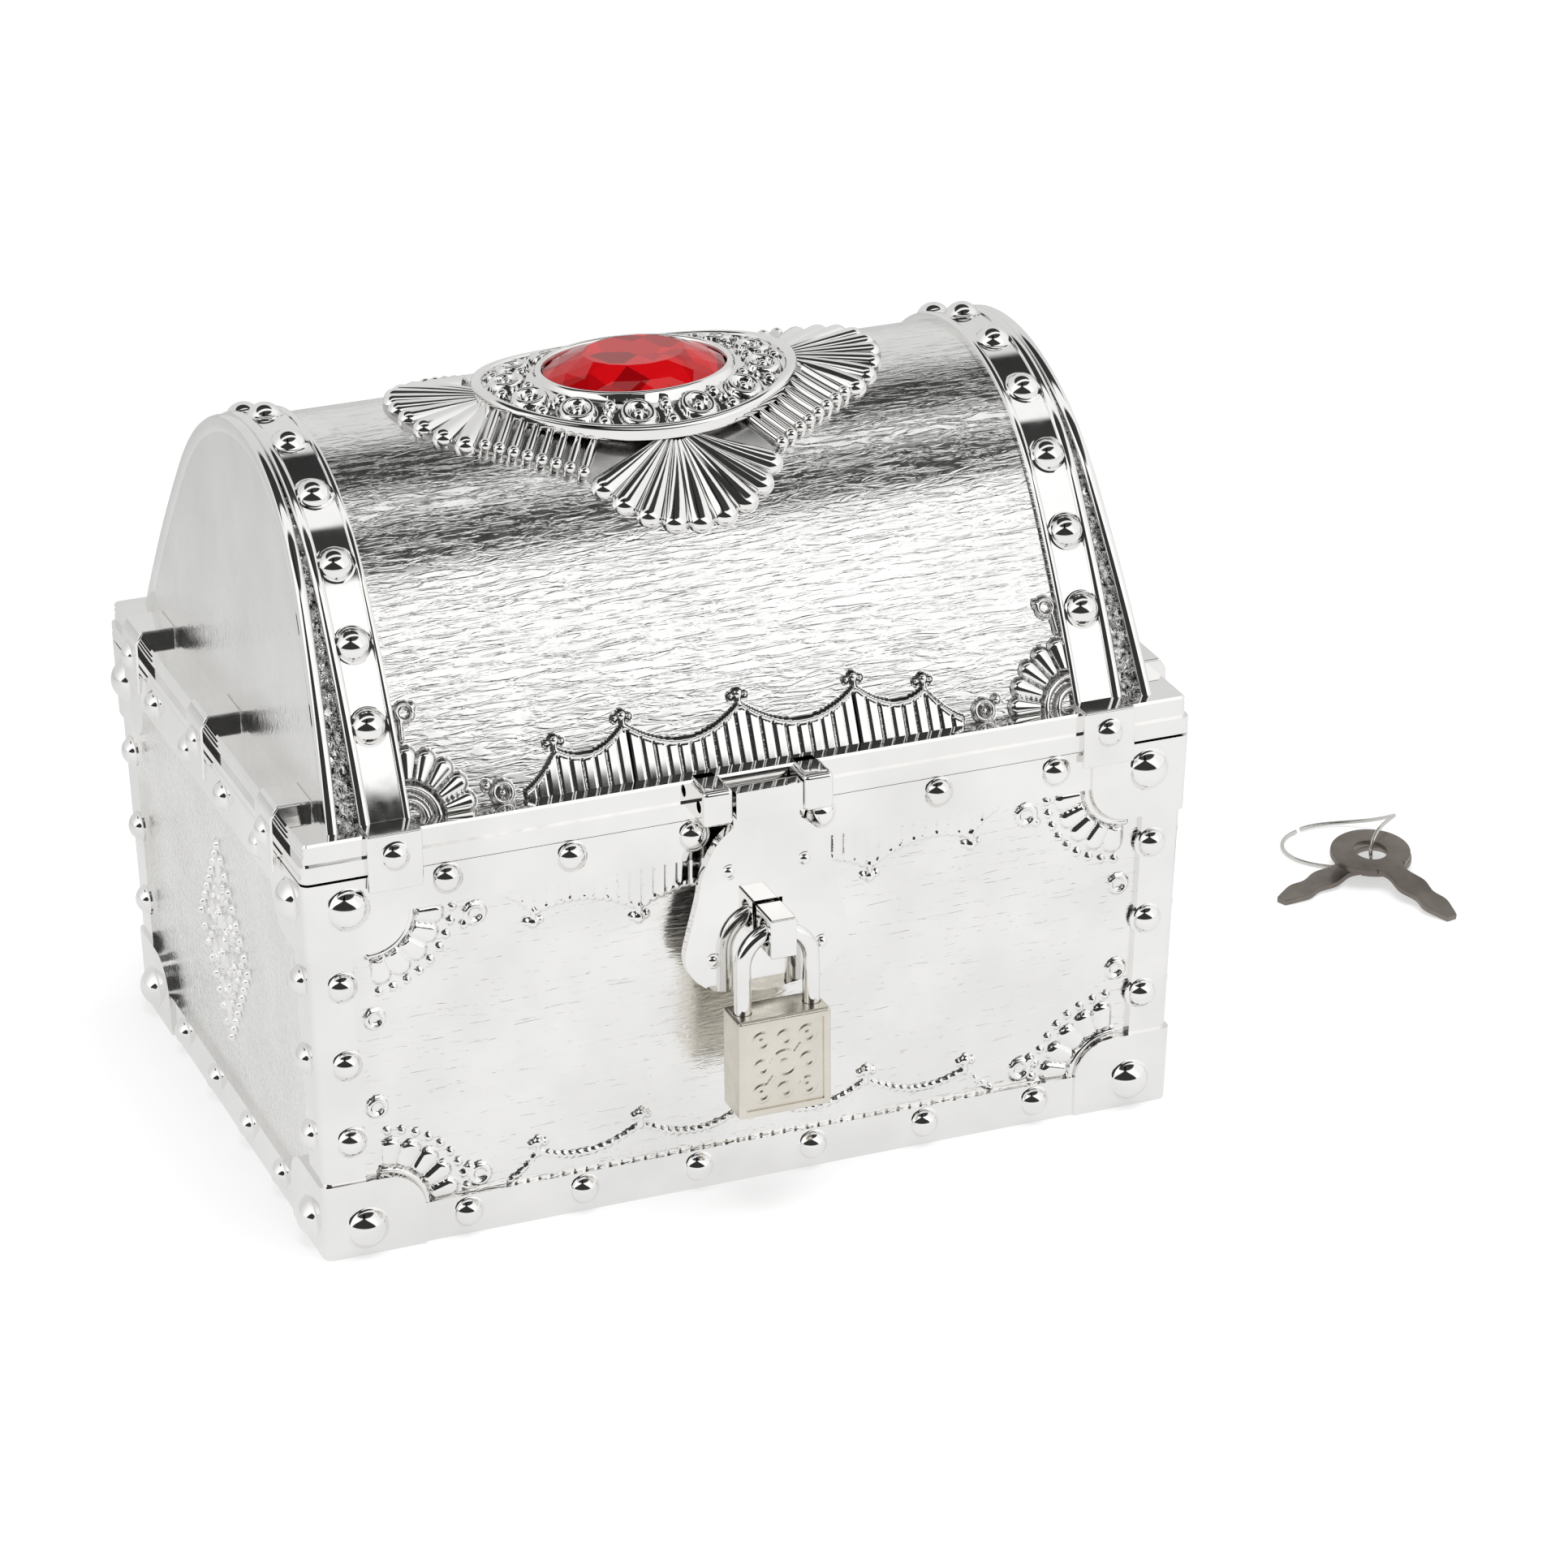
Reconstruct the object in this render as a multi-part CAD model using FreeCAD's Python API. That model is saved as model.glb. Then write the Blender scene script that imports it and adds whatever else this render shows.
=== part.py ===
import FreeCAD, Part
import math
import os

# Treasure chest keepsake box: a tapered base, an arched lid with an oval gem medallion,
# a hasp with a small padlock, and two flat keys on a wire loop.
# Millimetres, +Z up, front face towards -Y, origin on the floor under the middle of the base.

V = FreeCAD.Vector
X_AXIS = V(1, 0, 0)
Y_AXIS = V(0, 1, 0)
Z_AXIS = V(0, 0, 1)
SIDES = (-1, 1)
full_turn = 360.0

# Allowances shared by all pieces
overrun = 1.0
bury = 0.5
running_gap = 0.05
body_gap = 0.3

# Base tub
rim_width = 150.0
rim_depth = 105.8
base_taper = 1.9
seam_height = 66.5
seam_gap = 0.2
outer_corner_radius = 1.5
wall = 1.9
tub_floor = 2.2
band_width = 7.0
plate_proud = 0.5
band_proud = 1.0
corner_plate_width = 17.0
corner_plate_height = 13.2
corner_plate_round = 6.5

# Studs on the base
stud_diameter = 5.0
stud_rise = 1.8
corner_stud_diameter = 7.0
corner_stud_rise = 2.3
corner_stud_from_side = 7.2
corner_stud_from_end = 4.9
column_stud_from_side = 5.6
column_stud_shares = (0.308, 0.514, 0.722)
stud_edge_gap = 0.2
bottom_stud_height = 4.0
front_top_stud_shares = (0.144, 0.413, 0.685)
front_bottom_stud_shares = (0.132, 0.393, 0.655)
side_top_stud_shares = (0.183, 0.548)
side_bottom_stud_shares = (0.17, 0.51)

# Carved relief on the base panels: shells in the corners, hung fringes and a diamond on the ends
relief_rise = 0.6
shell_petals = 5
shell_inner = 10.4
shell_outer = 16.0
shell_petal_share = 0.74
fringe_place_shares = (0.0, 0.261, 0.496, 0.56)
fringe_height_shares = (0.12, 0.108, 0.072, 0.009)
fringe_sag_shares = (0.051, 0.036, 0.009)
knob_diameter = 2.2
knob_rise = 0.9
diamond_half_width = 13.0
diamond_half_height = 17.5
diamond_frame = 2.2
diamond_boss_diameter = 6.0
diamond_boss_rise = 1.0

# Lid arch: a crown arc that runs into flatter flank arcs
rim_height = 6.5
arch_rise = 48.0
crown_radius = 38.5
crown_half_angle = 55.0
front_ledge = 3.4
end_ledge = 5.4
lid_end_draft = 3.4
panel_drop = 0.8
stud_band_width = 8.4
stud_band_from_end = 5.3
end_bead = 1.4
rim_step_rise = 3.0
rim_step = 0.6
lid_stud_diameter = 5.7
lid_stud_rise = 2.1
lid_stud_pitch = 12.9
lid_stud_pairs = 5

# Straps that fold over the lid rim
strap_proud = 1.1
strap_thickness = 0.8
strap_drop = 2.6
front_strap_width = 9.0
front_strap_rise = 0.6
side_strap_shares = (-0.7, 0.0, 0.7)
side_strap_width = 8.2
side_strap_rise = 2.0
strap_rivet_lift = 3.0
strap_rivet_diameter = 4.6
strap_rivet_rise = 1.4

# Lid hinge at the back
hinge_place_share = 0.549
knuckle_radius = 2.6
knuckle_wall_gap = 0.4
knuckle_width = 7.0
ear_width = 3.0
ear_foot = 7.5
ear_root = 4.4
heel_reach = 4.6
heel_foot = 3.0
heel_gap = 0.12
lid_open_angle = 100.0
hinge_pin_radius = 1.0
arm_root = 4.0
arm_rise = 5.0

# Medallion on the crown
ornament_thickness = 0.7
fan_side_reach = 42.0
fan_side_root = 32.0
fan_side_half = 14.5
fan_front_reach = 29.8
fan_front_root = 22.5
fan_front_half = 16.3
fan_side_hub = 23.5
fan_front_hub = 17.0
fan_petals = 9
fan_petal_share = 0.8
fan_petal_rise = 0.9
fan_border = 0.3
fan_petal_inner = 3.0
edge_ribs = 7
edge_rib_length = 4.0
edge_rib_width = 1.5
bezel_half_length = 27.0
bezel_half_width = 20.5
bezel_bend_radius = 75.0
bezel_plate = 2.2
pedestal_inset = 4.0
gem_half_length = 15.2
gem_half_width = 12.2
gem_seat_floor = 0.3
gem_seat_depth = 1.0
gem_seat_gap = 0.1
gem_girdle_drop = 0.3
gem_crown = 3.1
gem_back_inset = 0.8
gem_table_share = 0.56
gem_sides = 16
lip_width = 1.2
lip_proud = 0.6

# Hasp and staple, with drops below the hasp's pin
hasp_axis_rise = 3.4
hasp_barrel_radius = 2.3
hasp_barrel_gap = 0.4
hasp_neck_half = 5.6
hasp_thickness = 1.8
hasp_outline = ((8.6, 6.9), (10.8, 11.6), (11.7, 16.1), (13.2, 21.9),
                (13.9, 25.3), (13.3, 28.1), (11.3, 30.6), (8.0, 32.3))
hasp_neck_drop = 4.1
hasp_drop = 33.4
hasp_pin_radius = 1.0
lug_width = 5.1
lug_cover = 2.2
lug_round = 1.0
boss_radius = 1.0
boss_rise = 0.6
boss_places = ((6.4, 11.7), (9.2, 26.7))
staple_drop = 21.25
staple_half_width = 2.2
staple_half_height = 3.4
staple_front_wall = 1.2
staple_hole_radius = 2.15
staple_flange_half_width = 3.8
staple_flange_half_height = 5.0
slot_gap = 0.35

# Padlock
padlock_half_width = 7.9
padlock_half_depth = 3.5
padlock_height = 17.2
padlock_edge_round = 0.6
padlock_hasp_gap = 0.3
shackle_wire_radius = 1.4
shackle_leg_place = 5.85
shackle_rise = 13.65
shackle_hang_drop = 0.2
short_leg_reach = 4.4
leg_bore_gap = 0.08
bore_floor = 2.0
bore_end_gap = 0.8
plug_radius = 2.3
plug_length = 9.2
keyway_width = 1.2
keyway_reach = 1.7
keyway_depth = 7.0
latch_nose = 3.9
latch_travel = 1.0
latch_end_gap = 0.25
latch_half_depth = 1.1
latch_lift = 0.9
latch_height = 1.7
latch_chamber_gap = 0.15
latch_peg_radius = 0.6
latch_peg_offset = 1.2
latch_peg_drop = 0.7
retaining_pin_radius = 0.6
retaining_land = 1.9
retaining_pin_bite = 0.55
release_travel = 4.8
spring_length = 3.4
spring_coil_radius = 1.0
spring_wire_radius = 0.16

# Keys on the wire loop
key_thickness = 1.0
key_head_half_width = 7.6
key_head_half_length = 6.6
key_hole_radius = 3.0
key_blade_stations = ((5.6, 3.0), (8.0, 2.1), (12.0, 2.8), (15.5, 2.0),
                      (18.5, 2.5), (21.5, 1.7), (23.4, 1.0))
keys_from_rim = 69.5
keys_behind_middle = 14.5
key_1_heading = -78.0
key_1_offset = (-1.0, -1.5)
key_1_lift = 3.9
key_2_heading = 200.0
key_2_offset = (1.0, 1.5)
key_2_lift = 1.4
wire_radius = 0.35
wire_path = ((-5.6, 18.6, 0.55), (-9.8, 15.6, 0.45), (-11.2, 10.6, 0.45), (-9.2, 5.6, 0.45),
             (-5.2, 2.4, 0.45), (-1.9, 0.8, 0.45), (-0.5, 0.2, 0.65), (0.0, 0.0, 1.5),
             (0.0, 0.0, 3.0), (0.1, 0.1, 4.6), (0.9, 0.6, 6.1), (4.2, 3.2, 7.1),
             (8.4, 7.4, 6.1), (9.2, 12.4, 3.4), (6.2, 16.8, 1.3), (1.2, 19.2, 0.7),
             (-4.4, 19.2, 0.6))

# Heights and places worked out from the sizes above
rim_half_width = rim_width / 2.0
rim_half_depth = rim_depth / 2.0
column_stud_heights = [share * seam_height for share in column_stud_shares]
front_top_stud_places = [share * rim_half_width for share in front_top_stud_shares]
front_bottom_stud_places = [share * rim_half_width for share in front_bottom_stud_shares]
side_top_stud_places = [share * rim_half_depth for share in side_top_stud_shares]
side_bottom_stud_places = [share * rim_half_depth for share in side_bottom_stud_shares]
arch_foot = rim_half_depth - front_ledge
lid_end = rim_half_width - end_ledge
stud_band_outer = lid_end - stud_band_from_end
stud_band_inner = stud_band_outer - stud_band_width
front_strap_place = (stud_band_inner + stud_band_outer) / 2.0
side_strap_places = [share * rim_half_depth for share in side_strap_shares]
hinge_place = hinge_place_share * rim_half_width
top_stud_height = seam_height - stud_edge_gap - stud_diameter / 2.0
lid_foot = seam_height + seam_gap
rim_step_height = lid_foot + rim_step_rise
ledge_height = lid_foot + rim_height
crest_height = ledge_height + arch_rise
strap_rivet_height = lid_foot + strap_rivet_lift
hinge_axis_out = knuckle_radius + knuckle_wall_gap
gem_seat_height = crest_height - panel_drop + ornament_thickness + gem_seat_floor
bezel_crest = gem_seat_height + gem_seat_depth
gem_girdle_height = bezel_crest - gem_girdle_drop
gem_table_height = gem_girdle_height + gem_crown
lip_height = bezel_crest + lip_proud
hasp_axis_height = lid_foot + hasp_axis_rise
hasp_axis_out = hasp_barrel_radius + hasp_barrel_gap
lug_foot = lid_foot + body_gap
lug_out = hasp_axis_out + lug_cover
staple_height = hasp_axis_height - staple_drop
padlock_plane = hasp_axis_out + hasp_thickness / 2.0 + padlock_hasp_gap + padlock_half_depth
shackle_crown_height = staple_height + shackle_hang_drop
padlock_top = shackle_crown_height - shackle_rise
padlock_foot = padlock_top - padlock_height
long_bore_foot = padlock_foot + bore_floor
long_leg_foot = long_bore_foot + spring_length
short_leg_foot = padlock_top - short_leg_reach
short_bore_foot = short_leg_foot - bore_end_gap
plug_top = padlock_foot + plug_length
latch_foot = plug_top + latch_lift
retaining_pin_height = long_leg_foot + retaining_land + release_travel + body_gap + retaining_pin_radius
wire_place = (rim_half_width + keys_from_rim, keys_behind_middle)


def box(x_low, x_high, y_low, y_high, z_low, z_high):
    return Part.makeBox(x_high - x_low, y_high - y_low, z_high - z_low, V(x_low, y_low, z_low))


def rod(radius, start, axis, length):
    return Part.makeCylinder(radius, length, start, axis)


def prism_x(points, x_low, x_high):
    # A closed outline in Y and Z, pulled along X.
    corners = [V(x_low, y, z) for y, z in points]
    face = Part.Face(Part.makePolygon(corners + corners[:1]))
    return face.extrude(V(x_high - x_low, 0, 0))


def rounded_outline(half_x, half_y, z, radius):
    centre_x = half_x - radius
    centre_y = half_y - radius
    quarter = 90.0
    arcs = []
    for step, (sign_x, sign_y) in enumerate(((1, 1), (-1, 1), (-1, -1), (1, -1))):
        centre = V(sign_x * centre_x, sign_y * centre_y, z)
        arc = Part.makeCircle(radius, centre, Z_AXIS, step * quarter, (step + 1) * quarter)
        arcs.append(arc)
    edges = []
    for step, arc in enumerate(arcs):
        following = arcs[(step + 1) % len(arcs)]
        edges.append(arc)
        edges.append(Part.makeLine(arc.valueAt(arc.LastParameter),
                                   following.valueAt(following.FirstParameter)))
    return Part.Wire(edges)


def frustum(low, high, z_low, z_high, radius):
    lower = rounded_outline(low[0], low[1], z_low, radius)
    upper = rounded_outline(high[0], high[1], z_high, radius)
    return Part.makeLoft([lower, upper], True, True)


def tub_half(z, inset):
    # Half width and half depth of the tapered base at a height.
    lean = base_taper * (1.0 - z / seam_height)
    return rim_half_width - lean - inset, rim_half_depth - lean - inset


def tub_layer(inset, z_low, z_high):
    return frustum(tub_half(z_low, inset), tub_half(z_high, inset), z_low, z_high,
                   outer_corner_radius)


def stud(surface_point, outward, diameter, rise):
    # Round cap on a short root that is sunk in the surface.
    half = diameter / 2.0
    radius = (half * half + rise * rise) / (2.0 * rise)
    turn = math.asin(half / radius) / 2.0
    middle = V(radius * math.sin(turn), 0, rise - radius + radius * math.cos(turn))
    root, edge, top = V(half, 0, -bury), V(half, 0, 0), V(0, 0, rise)
    edges = [Part.makeLine(V(0, 0, -bury), root), Part.makeLine(root, edge),
             Part.Arc(edge, middle, top).toShape(), Part.makeLine(top, V(0, 0, -bury))]
    cap = Part.Face(Part.Wire(edges)).revolve(V(), Z_AXIS, full_turn)
    cap.Placement = FreeCAD.Placement(surface_point, FreeCAD.Rotation(Z_AXIS, outward))
    return cap


def oval(half_length, half_width, z):
    return Part.Wire(Part.Ellipse(V(0, 0, z), half_length, half_width).toShape())


def oval_prism(half_length, half_width, z_low, z_high):
    return Part.Face(oval(half_length, half_width, z_low)).extrude(V(0, 0, z_high - z_low))


def petal(centre, ahead, aside, inner, outer, half_turn):
    # Wedge with a round end, in the plane of the two directions.
    def spot(radius, turn):
        return centre + (ahead * math.cos(turn) + aside * math.sin(turn)) * radius

    shoulder = outer * (1.0 - math.sin(half_turn))
    root_left, root_right = spot(inner, half_turn), spot(inner, -half_turn)
    left, right = spot(shoulder, half_turn), spot(shoulder, -half_turn)
    edges = [Part.makeLine(root_left, root_right), Part.makeLine(root_right, right),
             Part.Arc(right, spot(outer, 0), left).toShape(), Part.makeLine(left, root_left)]
    return Part.Face(Part.Wire(edges))


def band_windows():
    # Openings between the bands on all four sides.
    z_low = band_width
    z_high = seam_height - band_width
    low_x, low_y = tub_half(z_low, plate_proud + band_width)
    high_x, high_y = tub_half(z_high, plate_proud + band_width)
    reach_x = rim_half_width + overrun
    reach_y = rim_half_depth + overrun
    through_y = frustum((low_x, reach_y), (high_x, reach_y), z_low, z_high, outer_corner_radius)
    through_x = frustum((reach_x, low_y), (reach_x, high_y), z_low, z_high, outer_corner_radius)
    return through_y, through_x


def corner_plate_block(z_low, z_high, inner_z):
    half_x, half_y = tub_half((z_low + z_high) / 2.0, 0)
    inner_x = half_x - corner_plate_width
    inner_y = half_y - corner_plate_width
    block = box(inner_x, half_x + overrun, inner_y, half_y + overrun, z_low, z_high)
    rounded = []
    for edge in block.Edges:
        points = [vertex.Point for vertex in edge.Vertexes]
        level = all(abs(p.z - inner_z) < bury for p in points)
        inner = all(abs(p.x - inner_x) < bury for p in points)
        inner = inner or all(abs(p.y - inner_y) < bury for p in points)
        if level and inner:
            rounded.append(edge)
    return block.makeFillet(corner_plate_round, rounded)


def corner_plates():
    lower = corner_plate_block(0, corner_plate_height, corner_plate_height)
    upper_foot = seam_height - corner_plate_height
    upper = corner_plate_block(upper_foot, seam_height, upper_foot)
    skin = tub_layer(0, 0, seam_height)
    plates = []
    for block in (lower, upper):
        across = [block, block.mirror(V(), X_AXIS)]
        for piece in across:
            plates.append(piece.common(skin))
            plates.append(piece.mirror(V(), Y_AXIS).common(skin))
    return plates


def fringe_face(root, up, y):
    # Outline that hangs in swags between posts, mirrored about the middle.
    places = [share * rim_half_width for share in fringe_place_shares]
    heights = [share * seam_height for share in fringe_height_shares]
    sags = [share * seam_height for share in fringe_sag_shares]

    def spot(x, climb):
        return V(x, y, root + up * climb)

    edges = [Part.makeLine(spot(-places[-1], -bury), spot(places[-1], -bury))]
    for side in SIDES:
        for step, sag in enumerate(sags):
            middle_place = (places[step] + places[step + 1]) / 2.0
            middle_height = (heights[step] + heights[step + 1]) / 2.0 - sag
            edges.append(Part.Arc(spot(side * places[step], heights[step]),
                                  spot(side * middle_place, middle_height),
                                  spot(side * places[step + 1], heights[step + 1])).toShape())
        edges.append(Part.makeLine(spot(side * places[-1], heights[-1]),
                                   spot(side * places[-1], -bury)))
    return Part.Face(Part.Wire(Part.__sortEdges__(edges)))


def shell_faces(root, up, y):
    # Petals round both panel corners at one height.
    corner = tub_half(root, plate_proud + band_width)[0]
    pitch = math.pi / 2.0 / shell_petals
    faces = []
    for side in SIDES:
        for step in range(shell_petals):
            turn = pitch * step + pitch / 2.0
            ahead = V(-side * math.cos(turn), 0, up * math.sin(turn))
            aside = V(side * math.sin(turn), 0, up * math.cos(turn))
            faces.append(petal(V(side * corner, y, root), ahead, aside, shell_inner, shell_outer,
                               pitch * shell_petal_share / 2.0))
    return faces


def diamond_face(x):
    middle = seam_height / 2.0
    rings = []
    for inset in (0, diamond_frame):
        half_y, half_z = diamond_half_width - inset, diamond_half_height - inset
        corners = [V(x, half_y, middle), V(x, 0, middle + half_z),
                   V(x, -half_y, middle), V(x, 0, middle - half_z)]
        rings.append(Part.Face(Part.makePolygon(corners + corners[:1])))
    return rings[0].cut(rings[1])


def staple_pocket():
    # Bare place on the front panel behind the staple's flange.
    half_x = staple_flange_half_width + body_gap
    half_z = staple_flange_half_height + body_gap
    outer = -rim_half_depth - overrun
    panel = -tub_half(staple_height + half_z, plate_proud + band_proud)[1]
    return box(-half_x, half_x, outer, panel, staple_height - half_z, staple_height + half_z)


def panel_relief():
    # Forms that run through the tub from side to side, kept to a thin layer over the panels.
    reach_x = rim_half_width + overrun
    reach_y = rim_half_depth + overrun
    through = [diamond_face(-reach_x).extrude(X_AXIS * (2.0 * reach_x))]
    for root, up in ((band_width, 1), (seam_height - band_width, -1)):
        for face in shell_faces(root, up, -reach_y) + [fringe_face(root, up, -reach_y)]:
            through.append(face.extrude(Y_AXIS * (2.0 * reach_y)))
    layer = tub_layer(plate_proud + band_proud - relief_rise, 0, seam_height)
    layer = layer.cut(staple_pocket())
    return [shape.common(layer) for shape in through]


def relief_knobs():
    # Knobs on the fringe posts beside the middle, and a boss in each diamond.
    level = plate_proud + band_proud
    knobs = []
    for place_share, climb_share in zip(fringe_place_shares[1:-1], fringe_height_shares[1:-1]):
        climb = band_width + climb_share * seam_height
        for z in (climb, seam_height - climb):
            half_y = tub_half(z, level)[1]
            for end in SIDES:
                for side in SIDES:
                    spot = V(end * place_share * rim_half_width, side * half_y, z)
                    knobs.append(stud(spot, Y_AXIS * side, knob_diameter, knob_rise))
    middle = seam_height / 2.0
    for side in SIDES:
        place = V(side * tub_half(middle, level)[0], 0, middle)
        knobs.append(stud(place, X_AXIS * side, diamond_boss_diameter, diamond_boss_rise))
    return knobs


def base_studs():
    small = []
    big = []
    for sign in SIDES:
        for place in front_top_stud_places:
            small.append(("y", sign * place, top_stud_height))
        for place in front_bottom_stud_places:
            small.append(("y", sign * place, bottom_stud_height))
        for place in side_top_stud_places:
            small.append(("x", sign * place, top_stud_height))
        for place in side_bottom_stud_places:
            small.append(("x", sign * place, bottom_stud_height))
        for z in column_stud_heights:
            half_x, half_y = tub_half(z, column_stud_from_side)
            small.append(("y", sign * half_x, z))
            small.append(("x", sign * half_y, z))
        for z in (corner_stud_from_end, seam_height - corner_stud_from_end):
            half_x, half_y = tub_half(z, corner_stud_from_side)
            big.append(("y", sign * half_x, z))
            big.append(("x", sign * half_y, z))
    shapes = []
    sizes = ((small, plate_proud, stud_diameter, stud_rise),
             (big, 0, corner_stud_diameter, corner_stud_rise))
    for places, inset, diameter, rise in sizes:
        for face, along, z in places:
            half_x, half_y = tub_half(z, inset)
            for side in SIDES:
                if face == "y":
                    shapes.append(stud(V(along, side * half_y, z), Y_AXIS * side, diameter, rise))
                else:
                    shapes.append(stud(V(side * half_x, along, z), X_AXIS * side, diameter, rise))
    return shapes


def hinge_axis():
    return rim_half_depth + hinge_axis_out, seam_height + seam_gap / 2.0


def hinge_ears():
    # Two ears for each hinge, with a heel behind the pin that stops the open lid.
    axis_y, axis_z = hinge_axis()
    turn = math.radians(lid_open_angle)
    reach = hinge_axis_out - heel_gap
    heel_at_axis = reach / math.sin(turn)
    heel_at_end = (reach + heel_reach * math.cos(turn)) / math.sin(turn)
    below_seam = body_gap + seam_gap / 2.0
    outline = ((-ear_root, -ear_foot), (heel_reach, -heel_foot), (heel_reach, heel_at_end),
               (0, heel_at_axis), (0, -below_seam), (-ear_root, -below_seam))
    points = [(axis_y + y, axis_z + z) for y, z in outline]
    ears = []
    for sign in SIDES:
        for side in SIDES:
            near = sign * hinge_place + side * (knuckle_width / 2.0 + body_gap)
            far = near + side * ear_width
            low, high = min(near, far), max(near, far)
            ears.append(prism_x(points, low, high))
            ears.append(rod(knuckle_radius, V(low, axis_y, axis_z), X_AXIS, ear_width))
    return ears


def hinge_rod(sign, radius, half_length):
    axis_y, axis_z = hinge_axis()
    return rod(radius, V(sign * hinge_place - half_length, axis_y, axis_z), X_AXIS,
               2.0 * half_length)


def hinge_half_length():
    return knuckle_width / 2.0 + body_gap + ear_width


def base_tub():
    panel_level = plate_proud + band_proud
    core = tub_layer(panel_level, 0, seam_height)
    bands = tub_layer(plate_proud, 0, seam_height)
    for window in band_windows():
        bands = bands.cut(window)
    body = core.fuse(bands)
    for group in (corner_plates(), hinge_ears(), panel_relief(), relief_knobs(), base_studs()):
        body = body.fuse(group)
    inside = tub_layer(panel_level + wall, tub_floor, seam_height + overrun)
    body = body.cut(inside)
    for sign in SIDES:
        body = body.cut(hinge_rod(sign, hinge_pin_radius, hinge_half_length() + overrun))
    return body.removeSplitter()


def hinge_pin(sign):
    return hinge_rod(sign, hinge_pin_radius, hinge_half_length())


def arch_geometry():
    # Centre of the crown arc, and radius and centre of the flank arc that meets it smoothly.
    turn = math.radians(crown_half_angle)
    crown_centre = crest_height - crown_radius
    normal_y, normal_z = math.sin(turn), math.cos(turn)
    join_y = crown_radius * normal_y
    join_z = crown_centre + crown_radius * normal_z
    run_y, run_z = arch_foot - join_y, ledge_height - join_z
    span = run_y * run_y + run_z * run_z
    flank_radius = -span / (2.0 * (run_y * normal_y + run_z * normal_z))
    flank_y = join_y - flank_radius * normal_y
    flank_z = join_z - flank_radius * normal_z
    return crown_centre, flank_radius, flank_y, flank_z


def arch_point(offset, angle):
    # Point of the arch on the +Y side at an angle from straight up.
    crown_centre, flank_radius, flank_y, flank_z = arch_geometry()
    turn = math.radians(angle)
    if angle <= crown_half_angle:
        radius = crown_radius + offset
        return radius * math.sin(turn), crown_centre + radius * math.cos(turn)
    radius = flank_radius + offset
    return flank_y + radius * math.sin(turn), flank_z + radius * math.cos(turn)


def arch_foot_angle(offset, z_low):
    flank_radius, flank_z = arch_geometry()[1], arch_geometry()[3]
    return math.degrees(math.acos((z_low - flank_z) / (flank_radius + offset)))


def arch_block(offset, x_low, x_high, z_low):
    foot_angle = arch_foot_angle(offset, z_low)
    middle_angle = (crown_half_angle + foot_angle) / 2.0
    angles = (foot_angle, middle_angle, crown_half_angle)
    right = [arch_point(offset, angle) for angle in angles]
    crest = arch_point(offset, 0)
    at_right = [V(x_low, y, z) for y, z in right]
    at_left = [V(x_low, -y, z) for y, z in right]
    top = V(x_low, 0, crest[1])
    edges = [Part.Arc(at_right[0], at_right[1], at_right[2]).toShape(),
             Part.Arc(at_right[2], top, at_left[2]).toShape(),
             Part.Arc(at_left[2], at_left[1], at_left[0]).toShape(),
             Part.makeLine(at_left[0], at_right[0])]
    return Part.Face(Part.Wire(edges)).extrude(V(x_high - x_low, 0, 0))


def end_trim(inset, z_low):
    # Block whose ends lean in like the lid's end walls.
    lean = lid_end_draft / (crest_height - ledge_height)
    z_high = crest_height + overrun
    low_x = lid_end - inset + (ledge_height - z_low) * lean
    high_x = lid_end - inset - (z_high - ledge_height) * lean
    reach = rim_depth
    return frustum((low_x, reach), (high_x, reach), z_low, z_high, running_gap)


def vault(offset, inset, z_low):
    block = arch_block(offset, -rim_half_width, rim_half_width, z_low)
    return block.common(end_trim(inset, z_low - overrun))


def lid_studs():
    crown_length = crown_radius * math.radians(crown_half_angle)
    flank_radius = arch_geometry()[1]
    middle = (stud_band_inner + stud_band_outer) / 2.0
    shapes = []
    for step in range(lid_stud_pairs):
        length = lid_stud_pitch * (step + 1) - lid_stud_pitch / 2.0
        if length <= crown_length:
            angle = math.degrees(length / crown_radius)
        else:
            angle = crown_half_angle + math.degrees((length - crown_length) / flank_radius)
        y, z = arch_point(0, angle)
        turn = math.radians(angle)
        for sign in SIDES:
            outward = V(0, sign * math.sin(turn), math.cos(turn))
            for end in SIDES:
                point = V(end * middle, sign * y, z)
                shapes.append(stud(point, outward, lid_stud_diameter, lid_stud_rise))
    return shapes


def straps():
    foot = lid_foot
    out_x = rim_half_width + strap_proud
    out_y = rim_half_depth + strap_proud
    half = front_strap_width / 2.0
    shapes = []
    for end in SIDES:
        x = end * front_strap_place
        top = ledge_height + front_strap_rise
        shapes.append(box(x - half, x + half, -out_y, -arch_foot + bury, foot, top))
        shapes.append(box(x - half, x + half, arch_foot - bury, out_y, foot, top))
        shapes.append(box(x - half, x + half, -out_y, strap_thickness - out_y,
                          foot - strap_drop, foot))
        rivet = V(x, -out_y, strap_rivet_height)
        shapes.append(stud(rivet, -Y_AXIS, strap_rivet_diameter, strap_rivet_rise))
    half = side_strap_width / 2.0
    for place in side_strap_places:
        top = ledge_height + side_strap_rise
        long = box(lid_end - bury, out_x, place - half, place + half, foot, top)
        tongue = box(out_x - strap_thickness, out_x, place - half, place + half,
                     foot - strap_drop, foot)
        rivet = stud(V(out_x, place, strap_rivet_height), X_AXIS,
                     strap_rivet_diameter, strap_rivet_rise)
        for shape in (long, tongue, rivet):
            shapes.append(shape)
            shapes.append(shape.mirror(V(), X_AXIS))
    return shapes


def hasp_axis():
    return -(rim_half_depth + hasp_axis_out), hasp_axis_height


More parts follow.
